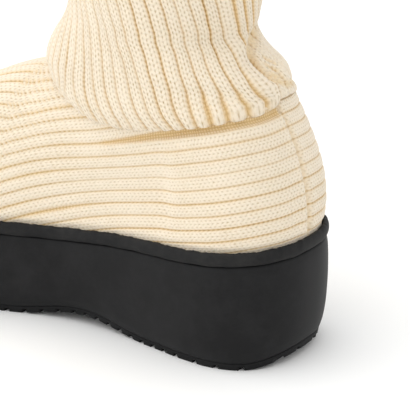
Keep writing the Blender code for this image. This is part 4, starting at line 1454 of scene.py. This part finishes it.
@dataclass
class RubberSole:
    """The moulded platform, its barred tread and the band around the foot of the knit."""

    last: Last
    platform_columns: int = 150
    platform_rows: int = 33
    tread_gap: float = 0.15
    # The band's raggedness, as the share and length of each wave, calm beside the heel's seam.
    band_columns: int = 420
    band_steps: int = 5
    band_ragged: float = 0.34
    band_waves: Sequence[tuple[float, float]] = ((0.6, 7.0), (0.4, 2.3))
    band_loose: float = 0.17
    loose_wave: float = 17.0
    band_lean: float = 0.15
    band_calm: float = 8.0
    # The tread's bars, the channel along its middle and the notches behind the heel.
    lug_depth: float = 1.6
    groove: float = 2.0
    groove_slope: float = 0.2
    tread_inset_top: float = 3.2
    tread_inset_floor: float = 3.8
    tread_columns: int = 72
    tread_samples: int = 8001
    tread_stations: int = 240
    tread_nearest: float = 0.0008
    tread_wall: Sequence[float] = (0.0, 0.3, 0.5, 0.75, 0.9, 1.0)
    channel_half_width: float = 2.6
    channel_slope: float = 0.4
    channel_ends: tuple[float, float] = (22.0, 244.0)
    heel_notches: Sequence[float] = (4.3, -9.4)
    heel_notch_sides: tuple[float, float] = (0.8, 1.2)
    heel_notch_ends: tuple[float, float] = (11.4, 12.0)
    tread_bands: Table = Table("x pitch count", ((6.6, 9.9, 5), (53.0, 6.2, 9), (110.4, 8.0, 18)))
    wall_rows: Table = Table("level inset", (
        (0.0, 3.25), (0.07, 2.1), (0.18, 1.1), (0.34, 0.4), (0.6, 0.0), (0.9, 0.3), (1.0, 1.1),
    ))
    band_rows: Table = Table("inset level", (
        (2.4, 0.0), (0.9, 0.0), (0.15, 0.2), (0.0, 0.55), (0.45, 0.88), (1.3, 1.0), (2.4, 0.97),
    ))

    def platform(self, material: bpy.types.Material) -> bpy.types.Object:
        """Makes the platform.

        Args:
            material: its rubber.

        Returns:
            The new object.
        """
        half = self.platform_columns
        run, side = self.last.both_sides(np.linspace(0.0, 1.0, half + 1))
        levels = np.linspace(0.0, 1.0, self.platform_rows)
        wall = []
        for level, inset in zip(levels, self.wall_rows.read("inset", levels)):
            plan = self.last.plan(run, side, inset)
            low = self.last.floor_line(plan[:, 0]) + self.last.tread + self.tread_gap
            height = low + (self.last.platform_top(plan[:, 0]) - low) * level
            wall.append(np.concatenate([plan, height[:, None]], axis=1))
        parts = MeshParts()
        numbers = parts.add_points(np.array(wall))
        parts.add_faces(closed(numbers))
        for row, flip in ((-1, False), (0, True)):
            medial = np.concatenate([numbers[row][:1], numbers[row][: half - 1 : -1]])
            parts.add_faces(np.stack([numbers[row][: half + 1], medial]), flip=flip)
        return parts.make("rubber_platform", self.last, [material])

    def band(self, material: bpy.types.Material) -> bpy.types.Object:
        """Makes the band, a little ragged along its top and loose along its foot.

        Args:
            material: its rubber.

        Returns:
            The new object.
        """
        run, side = self.last.both_sides(np.linspace(0.0, 1.0, self.band_columns + 1))
        around = line_lengths(self.last.edge(run, side))
        end = around[-1]
        calm = ease(around, 0.0, self.band_calm) * (1 - ease(around, end - self.band_calm, end))
        torn = self.band_ragged * sum(share * ripple(around, wave) for share, wave in self.band_waves) * calm
        loose = self.band_loose * ripple(around, self.loose_wave) * calm
        knots = []
        for row in self.band_rows.each():
            level = row["level"]
            plan = self.last.plan(run, side, row["inset"] - self.band_lean * torn * level)
            rise = level * (self.last.rand_height + torn) + (1 - level) * loose
            height = self.last.platform_top(plan[:, 0]) + self.last.gap + rise
            knots.append(np.concatenate([plan, height[:, None]], axis=1))
        parts = MeshParts()
        numbers = closed(parts.add_points(curve_rows(np.array(knots), self.band_steps)))
        parts.add_faces(np.concatenate([numbers, numbers[:1]], axis=0))
        return parts.make("rubber_rand", self.last, [material])

    def tread_runs(self) -> tuple[np.ndarray, np.ndarray]:
        """Places of the tread's sections, dense at the edges of its grooves.

        Returns:
            The runs, and for each how deep in a groove it lies, 0 to 1.
        """
        dense = np.linspace(0.0, 1.0, self.tread_samples)
        place = self.last.plan(dense, 1.0, self.tread_inset_floor)
        length = line_lengths(place)
        grooves = np.concatenate([x + pitch * np.arange(count) for x, pitch, count in self.tread_bands.rows])
        half, slope = self.groove / 2, self.groove_slope / 2
        edges = [grooves + sign * (half + lean) for sign in (-1, 1) for lean in (-slope, slope)]
        runs = np.interp(np.concatenate(edges), place[:, 0], dense)
        even = np.interp(np.linspace(0.0, length[-1], self.tread_stations), length, dense)
        even = even[np.abs(even[:, None] - runs[None]).min(axis=1) > self.tread_nearest]
        runs = np.sort(np.concatenate([runs, even]))
        away = np.abs(np.interp(runs, dense, place[:, 0])[:, None] - grooves[None]).min(axis=1)
        return runs, 1 - ease(away, half - slope, half + slope)

    def tread(self, material: bpy.types.Material) -> bpy.types.Object:
        """Makes the tread: bars across the sole, a channel along it and short notches behind the heel.

        Args:
            material: its rubber.

        Returns:
            The new object.
        """
        runs, crossing = self.tread_runs()
        walls = []
        for side in (1.0, -1.0):
            wall = []
            for share in self.tread_wall:
                inset = self.tread_inset_top + (self.tread_inset_floor - self.tread_inset_top) * share
                plan = self.last.plan(runs, side * np.ones(len(runs)), inset)
                height = self.last.floor_line(plan[:, 0]) + self.last.tread * (1 - share)
                wall.append(np.concatenate([plan, height[:, None]], axis=1))
            walls.append(wall)
        lateral, medial = walls
        shares = (np.arange(1, self.tread_columns) / self.tread_columns)[:, None, None]
        between = lateral[-1][None] * (1 - shares) + medial[-1][None] * shares
        between[..., 2] = self.last.floor_line(between[..., 0])
        grid = np.stack([*lateral, *between, *reversed(medial)], axis=1)

        x, y = grid[..., 0], grid[..., 1]
        middle = (lateral[-1][:, 1] + medial[-1][:, 1])[:, None] / 2
        inner_edge = self.channel_half_width - self.channel_slope
        channel = 1 - ease(np.abs(y - middle), inner_edge, self.channel_half_width)
        channel = channel * ((x > self.channel_ends[0]) & (x < self.channel_ends[1]))
        lift = np.maximum(crossing[:, None], channel)
        for place in self.heel_notches:
            notch = 1 - ease(np.abs(y - place), *self.heel_notch_sides)
            lift = np.maximum(lift, notch * (1 - ease(x, *self.heel_notch_ends)))
        grid[..., 2] = np.maximum(grid[..., 2], self.last.floor_line(x) + self.lug_depth * lift)

        parts = MeshParts()
        numbers = parts.add_points(grid)
        steps = len(self.tread_wall)
        for end in (0, -1):
            numbers[end, steps - 1 : -steps] = numbers[end, steps - 1]
            numbers[end, -steps:] = numbers[end, :steps][::-1]
        parts.add_faces(closed(numbers), flip=True)
        return parts.make("rubber_tread", self.last, [material])


@dataclass(frozen=True)
class Studio:
    """Plain studio: the photograph's camera, a pale floor and soft light from above and the left."""

    # The camera, in metres, with its focal length and the picture's width in pixels.
    place: tuple[float, float, float] = (-0.47031, 0.59807, 0.30799)
    ahead: tuple[float, float, float] = (0.51583, -0.78839, -0.33519)
    right: tuple[float, float, float] = (-0.83680, -0.54750, 0.0)
    focal: float = 1819.2
    picture: float = 410.0
    sensor: float = 36.0
    floor_reach: float = 6.0
    floor_colour: str = "#FCFCFB"
    surroundings: float = 0.94
    # Each light's place and side in metres, and its power in watts.
    lit_point: tuple[float, float, float] = (0.0, 0.0, 0.1)
    key: tuple[tuple[float, float, float], float, float] = ((0.3, 0.35, 1.4), 2.0, 10.6)
    fill: tuple[tuple[float, float, float], float, float] = ((1.1, 0.9, 0.8), 1.6, 4.4)

    def add(self, name: str, data: Any) -> bpy.types.Object:
        """Puts an object into the scene.

        Args:
            name: the object's name.
            data: its mesh, camera or light.

        Returns:
            The new object.
        """
        thing = bpy.data.objects.new(name, data)
        bpy.context.scene.collection.objects.link(thing)
        return thing

    def camera(self) -> None:
        """Adds the camera."""
        data = bpy.data.cameras.new("camera")
        data.sensor_width = self.sensor
        data.lens = self.focal * self.sensor / self.picture
        data.clip_start = 0.01
        ahead = Vector(self.ahead).normalized()
        right = Vector(self.right)
        right = (right - ahead * right.dot(ahead)).normalized()
        turn = Matrix((right, right.cross(ahead), -ahead)).transposed().to_4x4()
        camera = self.add("camera", data)
        camera.matrix_world = Matrix.Translation(self.place) @ turn
        bpy.context.scene.camera = camera

    def light(self, name: str, place: Sequence[float], size: float, power: float) -> None:
        """Adds a soft square light that looks at the boot.

        Args:
            name: the light's name.
            place: where it hangs, in metres.
            size: its side in metres.
            power: its power in watts.
        """
        data = bpy.data.lights.new(name, "AREA")
        data.shape = "SQUARE"
        data.size = size
        data.energy = power
        lamp = self.add(name, data)
        lamp.location = place
        lamp.rotation_euler = (Vector(self.lit_point) - Vector(place)).to_track_quat("-Z", "Y").to_euler()

    def build(self) -> None:
        """Adds the camera, floor, lights and the pale surroundings."""
        self.camera()
        mesh = bpy.data.meshes.new("floor")
        reach = self.floor_reach
        corners = [(-reach, -reach, 0), (reach, -reach, 0), (reach, reach, 0), (-reach, reach, 0)]
        mesh.from_pydata(corners, [], [(0, 1, 2, 3)])
        # Painted board: matt and nearly white, so the boot's shadow lies soft on it.
        board = new_material("pale floor", Base_Color=srgb(self.floor_colour), Roughness=0.9)[0]
        mesh.materials.append(board)
        self.add("floor", mesh)
        self.light("key", *self.key)
        self.light("fill", *self.fill)
        world = bpy.data.worlds.new("studio")
        world.use_nodes = True
        sky = world.node_tree.nodes["Background"]
        sky.inputs["Color"].default_value = (1.0, 1.0, 1.0, 1.0)
        sky.inputs["Strength"].default_value = self.surroundings
        bpy.context.scene.world = world
        bpy.context.scene.view_settings.view_transform = "Standard"


def place_piece(piece: bpy.types.Object, node: str) -> None:
    """Puts a piece in the place of a CAD node and logs it.

    Args:
        piece: the dressed piece.
        node: the CAD node that it replaces.
    """
    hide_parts(node)
    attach(piece, "root")
    log.info("%s replaces %s, %d faces", piece.name, node, len(piece.data.polygons))


def main() -> None:
    """Builds the boot's looks and the studio."""
    logging.basicConfig(level=logging.INFO, format="%(name)s: %(message)s")
    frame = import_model()
    Studio().build()
    last = Last()
    knit = KnitYarn().build()
    # The foot's stitches are tighter and its valley lines finer than the slack leg's; it has less painted
    # shade in the stitch holes and more between the loops.
    foot_knit = KnitYarn(
        "cream rib knit, foot", slope=0.6, hole_power=1.5, hole_shade=0.62, line_width=0.125, bead=0.7,
        knot_shade=0.6,
    ).build()
    lining = LiningCloth().build()
    foam = Rubber("foamed rubber").build()
    tread = Rubber("tread rubber", colour="#101011", roughness=0.6, grain_size=0.8, grain_depth=0.06).build()
    band = Rubber("band rubber", colour="#19191A", dust="#3A3937", roughness=0.6, grain_depth=0.08).build()

    place_piece(KnitFoot(last).build([foot_knit, lining]), "upper")
    place_piece(KnitShaft(last).build([knit, lining]), "shaft")
    sole = RubberSole(last)
    place_piece(sole.platform(foam), "midsole")
    place_piece(sole.band(band), "rand")
    place_piece(sole.tread(tread), "outsole")
    for held in frame["nodes"]["insole"].material_slots:
        held.material = lining
    log.info("insole keeps its CAD shape")


if __name__ == "__main__":
    main()
